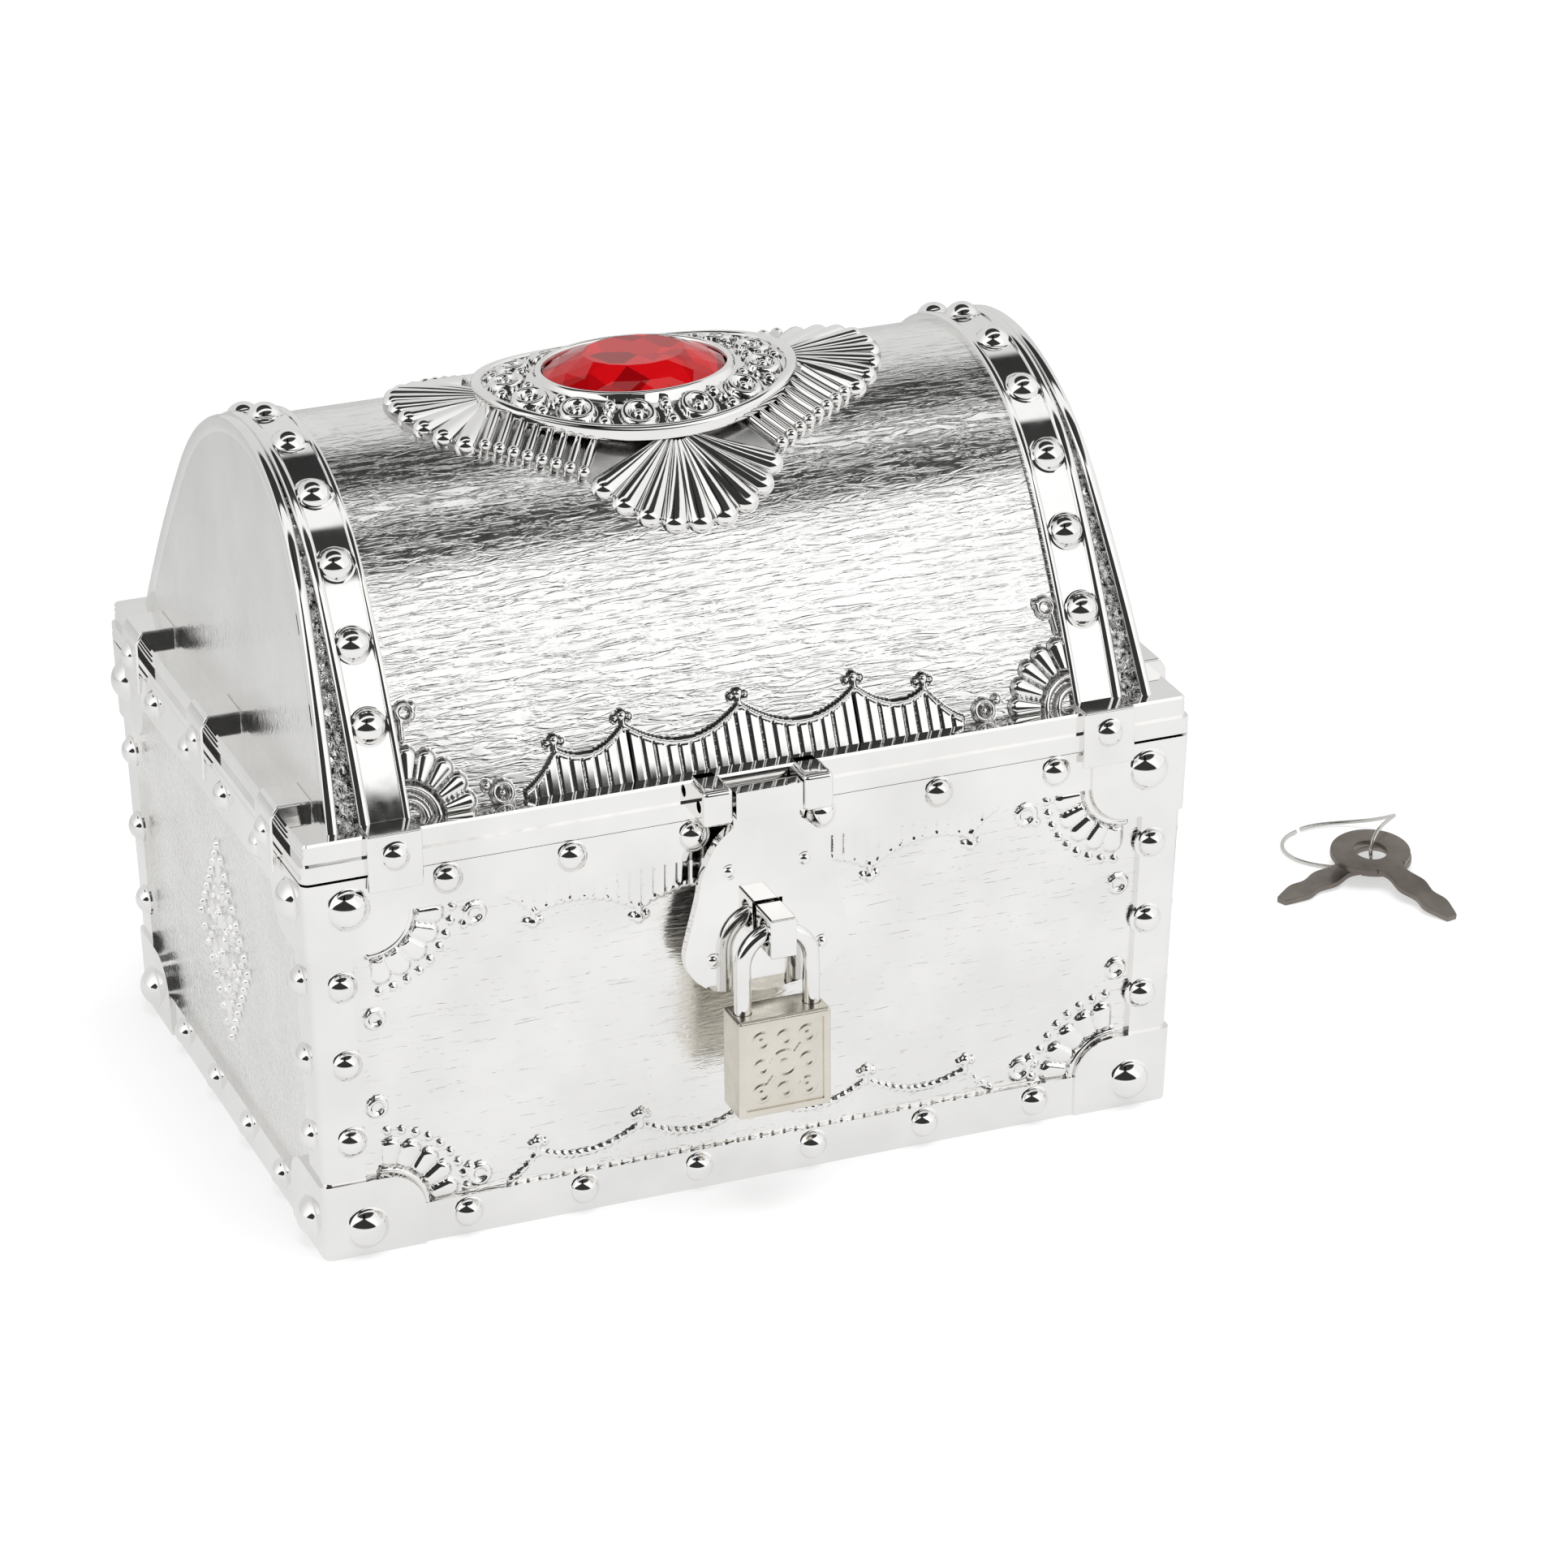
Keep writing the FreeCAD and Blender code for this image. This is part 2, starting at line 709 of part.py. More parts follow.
def hasp_lugs():
    near = hasp_neck_half + body_gap
    lugs = []
    for sign in SIDES:
        low, high = sorted((sign * near, sign * (near + lug_width)))
        block = box(low, high, -rim_half_depth - lug_out, -arch_foot, lug_foot, ledge_height)
        front = [edge for edge in block.Edges
                 if all(abs(v.Point.y + rim_half_depth + lug_out) < bury for v in edge.Vertexes)]
        level = [edge for edge in front
                 if abs(edge.Vertexes[0].Point.z - edge.Vertexes[1].Point.z) < bury]
        lugs.append(block.makeFillet(lug_round, level))
    return lugs


def hinge_knuckles():
    axis_y, axis_z = hinge_axis()
    outline = ((-arm_root, body_gap), (-arm_root, arm_rise), (0, knuckle_radius), (0, body_gap))
    points = [(axis_y + y, axis_z + z) for y, z in outline]
    shapes = []
    for sign in SIDES:
        low = sign * hinge_place - knuckle_width / 2.0
        shapes.append(prism_x(points, low, low + knuckle_width))
        shapes.append(hinge_rod(sign, knuckle_radius, knuckle_width / 2.0))
    return shapes


def rim_slab(inset, z_low, z_high):
    half = (rim_half_width - inset, rim_half_depth - inset)
    return frustum(half, half, z_low, z_high, outer_corner_radius)


def lid_shell():
    foot = lid_foot
    outer = vault(-panel_drop, 0, rim_step_height)
    beads = vault(0, 0, rim_step_height).cut(vault(0, end_bead, rim_step_height - overrun))
    bands = []
    for end in SIDES:
        low, high = sorted((end * stud_band_inner, end * stud_band_outer))
        bands.append(arch_block(0, low, high, rim_step_height))
    rim = [rim_slab(0, foot, rim_step_height), rim_slab(rim_step, rim_step_height, ledge_height)]
    body = outer.fuse(beads)
    for group in (bands, rim, straps(), lid_studs(), hinge_knuckles()):
        body = body.fuse(group)
    body = body.cut(vault(-panel_drop - wall, wall, foot - overrun))
    recess_inset = rim_step + wall
    body = body.cut(rim_slab(recess_inset, foot - overrun, ledge_height - wall))
    body = body.fuse(hasp_lugs())
    axis_y, axis_z = hasp_axis()
    pin_half = hasp_neck_half + body_gap + lug_width
    body = body.cut(rod(hasp_pin_radius, V(-pin_half - overrun, axis_y, axis_z), X_AXIS,
                        2.0 * (pin_half + overrun)))
    for sign in SIDES:
        body = body.cut(hinge_rod(sign, hinge_pin_radius + running_gap,
                                  knuckle_width / 2.0 + overrun))
    return body.removeSplitter()


def fan_faces(hub, reach, root, half, ahead, aside):
    # Petals of one shell fan that spreads from a hub to the plate's edge.
    tip = reach - hub
    corner = math.hypot(half, root - hub)
    spread = math.atan2(half, root - hub)
    half_turn = spread / fan_petals * fan_petal_share
    faces = []
    for step in range(fan_petals):
        share = (2.0 * step + 1.0) / fan_petals - 1.0
        turn = share * spread
        outward = ahead * math.cos(turn) + aside * math.sin(turn)
        sideways = aside * math.cos(turn) - ahead * math.sin(turn)
        length = tip + (corner - tip) * share * share - fan_border
        faces.append(petal(ahead * hub, outward, sideways, fan_petal_inner, length, half_turn))
    return faces


def edge_rib_faces():
    # Short ribs along the four slanting edges between the fans.
    start, end = V(fan_side_root, fan_side_half, 0), V(fan_front_half, fan_front_root, 0)
    along = (end - start).normalize()
    inward = V(-along.y, along.x, 0)
    faces = []
    for step in range(edge_ribs):
        middle = start + (end - start) * ((step + 1.0) / (edge_ribs + 1.0))
        left, right = middle - along * (edge_rib_width / 2.0), middle + along * (edge_rib_width / 2.0)
        corners = [left, right, right + inward * edge_rib_length, left + inward * edge_rib_length]
        for sign_x in SIDES:
            for sign_y in SIDES:
                mirrored = [V(sign_x * point.x, sign_y * point.y, 0) for point in corners]
                faces.append(Part.Face(Part.makePolygon(mirrored + mirrored[:1])))
    return faces


def fan_relief(column):
    # Petals and ribs raised over the plate, clear of the medallion.
    faces = edge_rib_faces()
    for sign in SIDES:
        faces += fan_faces(fan_side_hub, fan_side_reach, fan_side_root, fan_side_half,
                           X_AXIS * sign, Y_AXIS * sign)
        faces += fan_faces(fan_front_hub, fan_front_reach, fan_front_root, fan_front_half,
                           Y_AXIS * sign, X_AXIS * -sign)
    reach = stud_band_inner
    layer = arch_block(ornament_thickness + fan_petal_rise - panel_drop, -reach, reach, ledge_height)
    layer = layer.cut(arch_block(ornament_thickness / 2.0 - panel_drop, -reach - overrun,
                                 reach + overrun, ledge_height - overrun))
    layer = layer.common(column).cut(oval_prism(bezel_half_length + body_gap, bezel_half_width + body_gap,
                                                ledge_height, bezel_crest + overrun))
    height = V(0, 0, crest_height + overrun)
    return [face.extrude(height).common(layer) for face in faces]


def crown_ornament():
    # Four shell fans in one plate that lies on the arch.
    side_low = V(fan_side_root, -fan_side_half, 0)
    side_tip = V(fan_side_reach, 0, 0)
    side_high = V(fan_side_root, fan_side_half, 0)
    back_right = V(fan_front_half, fan_front_root, 0)
    back_tip = V(0, fan_front_reach, 0)
    back_left = V(-fan_front_half, fan_front_root, 0)
    left_high = V(-fan_side_root, fan_side_half, 0)
    left_tip = V(-fan_side_reach, 0, 0)
    left_low = V(-fan_side_root, -fan_side_half, 0)
    front_left = V(-fan_front_half, -fan_front_root, 0)
    front_tip = V(0, -fan_front_reach, 0)
    front_right = V(fan_front_half, -fan_front_root, 0)
    edges = [Part.Arc(side_low, side_tip, side_high).toShape(),
             Part.makeLine(side_high, back_right),
             Part.Arc(back_right, back_tip, back_left).toShape(),
             Part.makeLine(back_left, left_high),
             Part.Arc(left_high, left_tip, left_low).toShape(),
             Part.makeLine(left_low, front_left),
             Part.Arc(front_left, front_tip, front_right).toShape(),
             Part.makeLine(front_right, side_low)]
    column = Part.Face(Part.Wire(edges)).extrude(V(0, 0, crest_height + overrun))
    reach = stud_band_inner
    skin = arch_block(ornament_thickness - panel_drop, -reach, reach, ledge_height)
    skin = skin.cut(arch_block(-panel_drop, -reach - overrun, reach + overrun,
                               ledge_height - overrun))
    return skin.common(column).fuse(fan_relief(column)).removeSplitter()


def bent_solid(radius):
    # Round bar along X whose top is the medallion's curved face.
    centre = bezel_crest - bezel_bend_radius
    return rod(radius, V(-rim_half_width, 0, centre), X_AXIS, rim_width)


def gem_bezel():
    plate = oval_prism(bezel_half_length, bezel_half_width, ledge_height, bezel_crest + overrun)
    plate = plate.common(bent_solid(bezel_bend_radius))
    plate = plate.cut(bent_solid(bezel_bend_radius - bezel_plate))
    pedestal = oval_prism(bezel_half_length - pedestal_inset, bezel_half_width - pedestal_inset,
                          ledge_height, bezel_crest + overrun)
    pedestal = pedestal.common(bent_solid(bezel_bend_radius - bezel_plate / 2.0))
    lip = oval_prism(gem_half_length + gem_seat_gap + lip_width,
                     gem_half_width + gem_seat_gap + lip_width, gem_seat_height, lip_height)
    body = plate.fuse([pedestal, lip])
    reach = stud_band_inner
    body = body.cut(arch_block(ornament_thickness - panel_drop, -reach, reach,
                               ledge_height - overrun))
    seat = oval_prism(gem_half_length + gem_seat_gap, gem_half_width + gem_seat_gap,
                      gem_seat_height, gem_table_height + overrun)
    return body.cut(seat).removeSplitter()


def gem_ring(half_length, half_width, z):
    corners = []
    for step in range(gem_sides):
        turn = 2.0 * math.pi * (step + 1) / gem_sides
        corners.append(V(half_length * math.cos(turn), half_width * math.sin(turn), z))
    return Part.makePolygon(corners + corners[:1])


def gem():
    back = gem_ring(gem_half_length - gem_back_inset, gem_half_width - gem_back_inset,
                    gem_seat_height)
    girdle = gem_ring(gem_half_length, gem_half_width, gem_girdle_height)
    table = gem_ring(gem_half_length * gem_table_share, gem_half_width * gem_table_share,
                     gem_table_height)
    lower = Part.makeLoft([back, girdle], True, True)
    upper = Part.makeLoft([girdle, table], True, True)
    return lower.fuse(upper)


def staple_centre():
    return -(rim_half_depth + padlock_plane), staple_height


def hasp_plane():
    front = hasp_axis()[0] - hasp_thickness / 2.0
    return front, front + hasp_thickness


def hasp_plate():
    axis_y, axis_z = hasp_axis()
    front, back = hasp_plane()
    right = [V(x, front, axis_z - drop) for x, drop in hasp_outline]
    left = [V(-x, front, axis_z - drop) for x, drop in reversed(hasp_outline)]
    curve = Part.BSplineCurve()
    neck_right = V(hasp_neck_half, front, axis_z - hasp_neck_drop)
    neck_left = V(-hasp_neck_half, front, axis_z - hasp_neck_drop)
    foot = V(0, front, axis_z - hasp_drop)
    curve.interpolate([neck_right] + right + [foot] + left + [neck_left])
    top_right = V(hasp_neck_half, front, axis_z)
    top_left = V(-hasp_neck_half, front, axis_z)
    edges = [curve.toShape(), Part.makeLine(neck_left, top_left),
             Part.makeLine(top_left, top_right), Part.makeLine(top_right, neck_right)]
    body = Part.Face(Part.Wire(edges)).extrude(V(0, back - front, 0))
    barrel = rod(hasp_barrel_radius, V(-hasp_neck_half, axis_y, axis_z), X_AXIS,
                 2.0 * hasp_neck_half)
    bosses = []
    for x, drop in boss_places:
        for sign in SIDES:
            place = V(sign * x, front, axis_z - drop)
            bosses.append(stud(place, -Y_AXIS, 2.0 * boss_radius, boss_rise))
    body = body.fuse([barrel] + bosses)
    half_x = staple_half_width + slot_gap
    half_z = staple_half_height + slot_gap
    centre_z = staple_centre()[1]
    body = body.cut(box(-half_x, half_x, front - overrun, back + overrun,
                        centre_z - half_z, centre_z + half_z))
    hole = rod(hasp_pin_radius + running_gap, V(-hasp_neck_half - overrun, axis_y, axis_z),
               X_AXIS, 2.0 * (hasp_neck_half + overrun))
    return body.cut(hole)


def hasp_hinge_pin():
    axis_y, axis_z = hasp_axis()
    half = hasp_neck_half + body_gap + lug_width
    return rod(hasp_pin_radius, V(-half, axis_y, axis_z), X_AXIS, 2.0 * half)


def hasp_staple():
    # Tab with a cross hole for the shackle, on a flange behind the hasp plate.
    hole_y, hole_z = staple_centre()
    back = hasp_plane()[1]
    panel_y = -tub_half(hole_z + staple_flange_half_height, plate_proud + band_proud)[1]
    root = panel_y - body_gap
    front = hole_y - staple_hole_radius - staple_front_wall
    tab = box(-staple_half_width, staple_half_width, front, back,
              hole_z - staple_half_height, hole_z + staple_half_height)
    flange = box(-staple_flange_half_width, staple_flange_half_width, back, root,
                 hole_z - staple_flange_half_height, hole_z + staple_flange_half_height)
    hole = rod(staple_hole_radius, V(-staple_half_width - overrun, hole_y, hole_z), X_AXIS,
               2.0 * (staple_half_width + overrun))
    return tab.fuse(flange).cut(hole).removeSplitter()


def padlock_centre_y():
    return staple_centre()[0]


def padlock_bore(x, radius, z_low, z_high):
    return rod(radius, V(x, padlock_centre_y(), z_low), Z_AXIS, z_high - z_low)


def latch_chamber():
    y = padlock_centre_y()
    half_depth = latch_half_depth + latch_chamber_gap
    end = latch_nose + latch_end_gap
    return box(-end, end, y - half_depth, y + half_depth, latch_foot - latch_chamber_gap,
               latch_foot + latch_height + latch_chamber_gap)


def retaining_pin():
    # Cross pin beside the long leg; it runs down the leg's flat and stops at the land under it.
    y = padlock_centre_y()
    x = -shackle_leg_place + shackle_wire_radius + retaining_pin_radius - retaining_pin_bite
    half = padlock_half_depth - padlock_edge_round
    return rod(retaining_pin_radius, V(x, y - half, retaining_pin_height), Y_AXIS, 2.0 * half)


def padlock_body():
    y = padlock_centre_y()
    body = box(-padlock_half_width, padlock_half_width, y - padlock_half_depth,
               y + padlock_half_depth, padlock_foot, padlock_top)
    body = body.makeFillet(padlock_edge_round, body.Edges)
    bore = shackle_wire_radius + leg_bore_gap
    top = padlock_top + overrun
    cuts = [padlock_bore(-shackle_leg_place, bore, long_bore_foot, top),
            padlock_bore(shackle_leg_place, bore, short_bore_foot, top),
            padlock_bore(0, plug_radius + running_gap, padlock_foot - overrun,
                         latch_foot - latch_chamber_gap),
            latch_chamber(), retaining_pin()]
    for shape in cuts:
        body = body.cut(shape)
    return body


def padlock_shackle():
    y = padlock_centre_y()
    bend = shackle_crown_height - shackle_leg_place
    left_foot = V(-shackle_leg_place, y, long_leg_foot)
    left_bend = V(-shackle_leg_place, y, bend)
    right_bend = V(shackle_leg_place, y, bend)
    right_foot = V(shackle_leg_place, y, short_leg_foot)
    crown = V(0, y, shackle_crown_height)
    path = Part.Wire([Part.makeLine(left_foot, left_bend),
                      Part.Arc(left_bend, crown, right_bend).toShape(),
                      Part.makeLine(right_bend, right_foot)])
    profile = Part.Wire(Part.makeCircle(shackle_wire_radius, left_foot, Z_AXIS))
    wire = path.makePipeShell([profile], True, True)
    pin = retaining_pin().BoundBox
    flat = box(pin.XMin - body_gap, pin.XMax, y - padlock_half_depth, y + padlock_half_depth,
               pin.ZMin - release_travel - body_gap, pin.ZMax + body_gap)
    return wire.cut(flat)


def padlock_keyway_plug():
    y = padlock_centre_y()
    plug = padlock_bore(0, plug_radius, padlock_foot, plug_top)
    slot = box(-keyway_reach, keyway_reach, y - keyway_width / 2.0, y + keyway_width / 2.0,
               padlock_foot - overrun, padlock_foot + keyway_depth)
    return plug.cut(slot)


def padlock_latch():
    y = padlock_centre_y()
    bar = box(latch_travel - latch_nose, latch_nose, y - latch_half_depth,
              y + latch_half_depth, latch_foot, latch_foot + latch_height)
    peg = rod(latch_peg_radius, V(latch_peg_offset, y, latch_foot - latch_peg_drop), Z_AXIS,
              latch_peg_drop + bury)
    return bar.fuse(peg)


def padlock_spring():
    # Sleeve in the outer shape of the coil under the long leg, from the bore's end to the leg.
    sleeve = padlock_bore(-shackle_leg_place, spring_coil_radius + spring_wire_radius,
                          long_bore_foot, long_leg_foot)
    bore = padlock_bore(-shackle_leg_place, spring_coil_radius - spring_wire_radius,
                        long_bore_foot - overrun, long_leg_foot + overrun)
    return sleeve.cut(bore)


def key_blank():
    # Flat key with its hole at the origin and the blade along +X.
    thick = V(0, 0, key_thickness)
    outline = Part.Ellipse(V(0, key_head_half_width, 0), V(key_head_half_length, 0, 0), V())
    head = Part.Face(Part.Wire(outline.toShape())).extrude(thick)
    upper = [V(x, y, 0) for x, y in key_blade_stations]
    lower = [V(x, -y, 0) for x, y in key_blade_stations]
    top_curve = Part.BSplineCurve()
    top_curve.interpolate(upper)
    low_curve = Part.BSplineCurve()
    low_curve.interpolate(lower)
    root_top = V(0, upper[0].y, 0)
    root_low = V(0, lower[0].y, 0)
    edges = [Part.makeLine(root_top, upper[0]), top_curve.toShape(),
             Part.makeLine(upper[-1], lower[-1]), low_curve.toShape(),
             Part.makeLine(lower[0], root_low), Part.makeLine(root_low, root_top)]
    blade = Part.Face(Part.Wire(Part.__sortEdges__(edges))).extrude(thick)
    blank = head.fuse(blade).removeSplitter()
    hole = rod(key_hole_radius, V(0, 0, -overrun), Z_AXIS, key_thickness + 2.0 * overrun)
    return blank.cut(hole)


def laid_key(heading, offset, lift):
    # The tip lies on the floor and the head on what is under it.
    key = key_blank()
    length = key_blade_stations[-1][0]
    key.rotate(V(), Y_AXIS, math.degrees(math.asin(lift / length)))
    key.rotate(V(), Z_AXIS, heading)
    key.translate(V(wire_place[0] + offset[0], wire_place[1] + offset[1], lift))
    return key


def key_wire():
    points = [V(wire_place[0] + x, wire_place[1] + y, z) for x, y, z in wire_path]
    curve = Part.BSplineCurve()
    curve.interpolate(points)
    start, ahead = curve.value(curve.FirstParameter), curve.tangent(curve.FirstParameter)[0]
    profile = Part.Wire(Part.makeCircle(wire_radius, start, ahead))
    return Part.Wire(curve.toShape()).makePipeShell([profile], True, False)


NODES = {
    "base_tub": base_tub,
    "hinge_pin_left": lambda: hinge_pin(-1),
    "hinge_pin_right": lambda: hinge_pin(1),
    "lid_shell": lid_shell,
    "crown_ornament": crown_ornament,
    "gem_bezel": gem_bezel,
    "gem": gem,
    "hasp_plate": hasp_plate,
    "hasp_hinge_pin": hasp_hinge_pin,
    "hasp_staple": hasp_staple,
    "padlock_body": padlock_body,
    "padlock_shackle": padlock_shackle,
    "padlock_keyway_plug": padlock_keyway_plug,
    "padlock_latch": padlock_latch,
    "padlock_retaining_pin": retaining_pin,
    "padlock_spring": padlock_spring,
    "key_1": lambda: laid_key(key_1_heading, key_1_offset, key_1_lift),
    "key_2": lambda: laid_key(key_2_heading, key_2_offset, key_2_lift),
    "key_wire": key_wire,
}

os.makedirs("parts", exist_ok=True)
for name, make in NODES.items():
    shape = make()
    print(name, shape.ShapeType, len(shape.Solids), "solids", shape.isValid(),
          round(shape.Volume), shape.BoundBox)
    if len(shape.Solids) == 1:
        shape = shape.Solids[0]
    shape.exportStep("parts/" + name + ".step")
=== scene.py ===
import math

import bmesh
import bpy
import numpy as np
from mathutils import Matrix, Vector


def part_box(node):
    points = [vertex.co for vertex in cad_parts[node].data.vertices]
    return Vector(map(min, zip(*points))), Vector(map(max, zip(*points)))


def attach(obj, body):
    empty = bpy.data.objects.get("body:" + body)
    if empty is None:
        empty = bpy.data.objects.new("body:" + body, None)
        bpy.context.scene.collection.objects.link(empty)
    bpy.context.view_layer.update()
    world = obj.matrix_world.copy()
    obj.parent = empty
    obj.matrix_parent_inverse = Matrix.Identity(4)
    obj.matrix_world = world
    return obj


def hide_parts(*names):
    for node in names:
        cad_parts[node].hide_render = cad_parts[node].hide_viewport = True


# Looks of the treasure chest box. Sizes are in millimetres and become metres in Shape.object.
# +Z is up, the front faces -Y, and the origin is on the floor under the middle of the base.

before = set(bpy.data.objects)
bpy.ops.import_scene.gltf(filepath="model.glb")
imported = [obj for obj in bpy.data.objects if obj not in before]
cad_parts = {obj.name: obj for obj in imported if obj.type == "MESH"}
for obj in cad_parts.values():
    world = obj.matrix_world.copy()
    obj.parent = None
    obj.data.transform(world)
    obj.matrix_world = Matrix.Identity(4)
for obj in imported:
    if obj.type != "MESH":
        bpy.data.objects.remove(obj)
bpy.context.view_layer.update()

MM = 0.001
SIDES = (-1, 1)
CORNERS = [(x, y) for x in SIDES for y in SIDES]

# How far cutting blocks and rods reach past what they cut
overrun = 1.0

# Base
rim_width = 150.0
rim_depth = 105.8
base_taper = 1.9
seam_height = 66.5
corner_radius = 1.5
wall = 1.9
tub_floor = 2.2
mouth_overrun = 5.0
band_width = 7.0
band_inset = 0.5
panel_inset = 1.5
panel_backing = 0.6
corner_plate_width = 17.0
corner_plate_height = 13.2
corner_plate_round = 6.5
edge_round = 0.35
raised_height = 0.3
base_normals = {"front": (0, -1), "back": (0, 1), "left": (-1, 0), "right": (1, 0)}

# Studs: places along a side, and heights
stud_size = (5.0, 1.8)
corner_stud_size = (7.0, 2.3)
corner_stud_from_side = 7.2
corner_stud_from_end = 4.9
column_stud_from_side = 5.6
column_stud_heights = (20.5, 34.2, 48.0)
top_stud_height = 63.8
bottom_stud_height = 4.0
long_top_studs = (10.8, 31.0, 51.4)
long_bottom_studs = (9.9, 29.5, 49.1)
short_top_studs = (9.7, 29.0)
short_bottom_studs = (9.0, 27.0)
stud_skirt = 0.35
stud_sink = 0.4

# Lid
lid_foot = 66.7
rim_step_height = 69.7
ledge_height = 73.2
rim_step = 0.6
rim_chamfer = 0.25
ledge_chamfer = (0.3, 0.4)
least_corner = 0.2
rim_line = 0.3
rim_line_heights = (68.2, 71.4, 72.3)
crest_height = 121.2
crown_radius = 38.5
crown_turn = math.radians(55.0)
arch_foot = 49.5
lid_end = 69.6
lid_end_draft = 3.4
lid_lean = lid_end_draft / (crest_height - ledge_height)
end_wall_inset = 0.35
end_wall_drop = 1.0
panel_drop = 0.8
panel_lap = 0.3
foot_sink = 1.0
lid_stud_size = (5.7, 2.1)
lid_stud_pitch = 12.9
lid_stud_pairs = 5

# Bands over the lid: beads are (width, rise), shoulders are heights beside them
band_inner = 55.9
band_outer = 64.3
band_flange = 0.1
band_shoulders = (-0.3, -0.4)
inner_bead = (1.2, 0.45)
outer_bead = (1.8, 0.6)
end_bead = (1.7, 0.55)
end_bead_sink = 0.2
end_flange = 0.3
end_shoulders = (-0.6, -1.6)
end_foot_inset = 0.5

# Straps on the rim
strap_proud = 1.1
strap_thickness = 0.8
strap_round = 0.38
strap_drop = 2.6
strap_tuck = 0.5
front_strap_place = 60.1
front_strap_width = 9.0
front_strap_rise = 0.6
side_strap_places = (-37.0, 0.0, 37.0)
side_strap_width = 8.2
side_strap_rise = 2.0
side_strap_bevel = 1.2
rivet_height = 69.7
rivet_size = (4.6, 1.4)

# Lid hinge: outlines are (y, z) from the pin
hinge_place = 41.2
hinge_y = 55.9
hinge_z = 66.6
knuckle_radius = 2.6
knuckle_width = 7.0
knuckle_outline = ((-4.0, 0.3), (-4.0, 5.0), (0.0, 2.6), (0.0, 0.3))
ear_width = 3.0
ear_gap = 0.3
ear_outline = ((-4.4, -7.5), (4.6, -3.0), (4.6, 2.1), (0.0, 2.9), (0.0, -0.4), (-4.4, -0.4))

# Medallion: fans are (tip, root, half width), and shares are of the bezel's half size
ornament_side = (42.0, 32.0, 14.5)
ornament_front = (29.8, 22.5, 16.3)
ornament_sheet = 0.5
sheet_inner = 0.45
sheet_sink = 0.4
side_hub = 23.5
front_hub = 17.0
petals_per_fan = 9
petal_inner = 2.6
petal_rise = 2.0
petal_taper = 0.6
front_petal_swell = 1.5
front_petal_reach = 1.2
petal_share = 0.92
ornament_margin = 0.3
ridge_foot = 0.4
ribs_per_edge = 8
edge_rib_length = 9.5
edge_rib_half = 1.0
edge_rib_swell = 1.2
edge_bead_radius = 1.1
bezel_half = (27.0, 20.5)
bezel_crest = 122.4
bezel_bend = 75.0
bezel_plate = 2.2
bezel_floor = 1.2
bezel_swell = 1.0
bezel_field = 0.925
bezel_bead = (0.9625, 0.0375)
bezel_bead_rise = 0.9
bezel_bead_sink = 0.8
bezel_foot = (0.985, 0.88)
bezel_foot_gap = (0.2, 0.1)
bezel_scrolls = 13
scroll_ring = 0.79
scroll_hoop = (2.3, 1.5)
scroll_eye = 1.0
bezel_buds = ((0.70, 1.1), (0.785, 0.8), (0.87, 1.2))
lip_half = (16.5, 13.5)
lip_top = 123.0
lip_chamfer = (0.2, 0.15)
lip_round = (0.5, 0.1, 0.3)
gem_half = (15.2, 12.2)
gem_gap = 0.1
gem_foot = 121.45
gem_girdle = 122.1
gem_table = 125.2
gem_sides = 16

# Hasp and padlock
hasp_y = -55.6
hasp_z = 70.1
hasp_half_thickness = 0.9
hasp_barrel_radius = 2.3
hasp_neck_half = 5.6
hasp_outline = ((5.6, 66.0), (8.6, 63.2), (10.8, 58.5), (11.7, 54.0), (13.2, 48.2),
                (13.9, 44.8), (13.3, 42.0), (11.3, 39.5), (8.0, 37.8), (0.0, 36.7))
boss_places = ((6.4, 58.4), (9.2, 43.4))
boss_size = (2.0, 0.6)
lug_width = 5.1
lug_out = 4.9
lug_foot = 67.0
lug_round = 0.9
staple_half = (2.2, 3.4)
staple_tuck = 0.5
staple_hole_radius = 2.15
staple_hole_reach = 9.0
slot_gap = 0.35
padlock_round = 0.6
padlock_recess = 0.4
padlock_border = 1.3
engraving_lift = 0.1
engraving_rise = 0.17
engraving_back = 0.3
shackle_leg = 5.85
leg_bore_gap = 0.12
long_bore_floor = 2.0
short_bore_floor = 12.0
plug_gap = 0.1
plug_headroom = 0.7
latch_gap = 0.15
latch_end_gap = 0.25
latch_slot_floor = 0.6

# Keys: the blade runs along +X from the hole at the origin, and spots are (x, y, lift, heading)
key_thickness = 1.0
key_head = (6.6, 7.6)
key_neck_turn = 0.41
key_round = 0.15
key_hole_radius = 3.0
key_blade = ((5.6, 3.0), (8.0, 2.1), (12.0, 2.8), (15.5, 2.0), (18.5, 2.5), (21.5, 1.7), (23.4, 1.0))
key_spots = {"key_1": (143.5, 13.0, 3.9, -78.0), "key_2": (145.5, 16.0, 1.4, 200.0)}

# Camera, found from the box's corners in the photograph
camera_target = (25.46, 0.0, 44.09)
camera_azimuth = -21.73
camera_elevation = 24.63
camera_roll = -0.36
camera_distance = 979.34
camera_lens = 134.17
sensor_width = 36.0

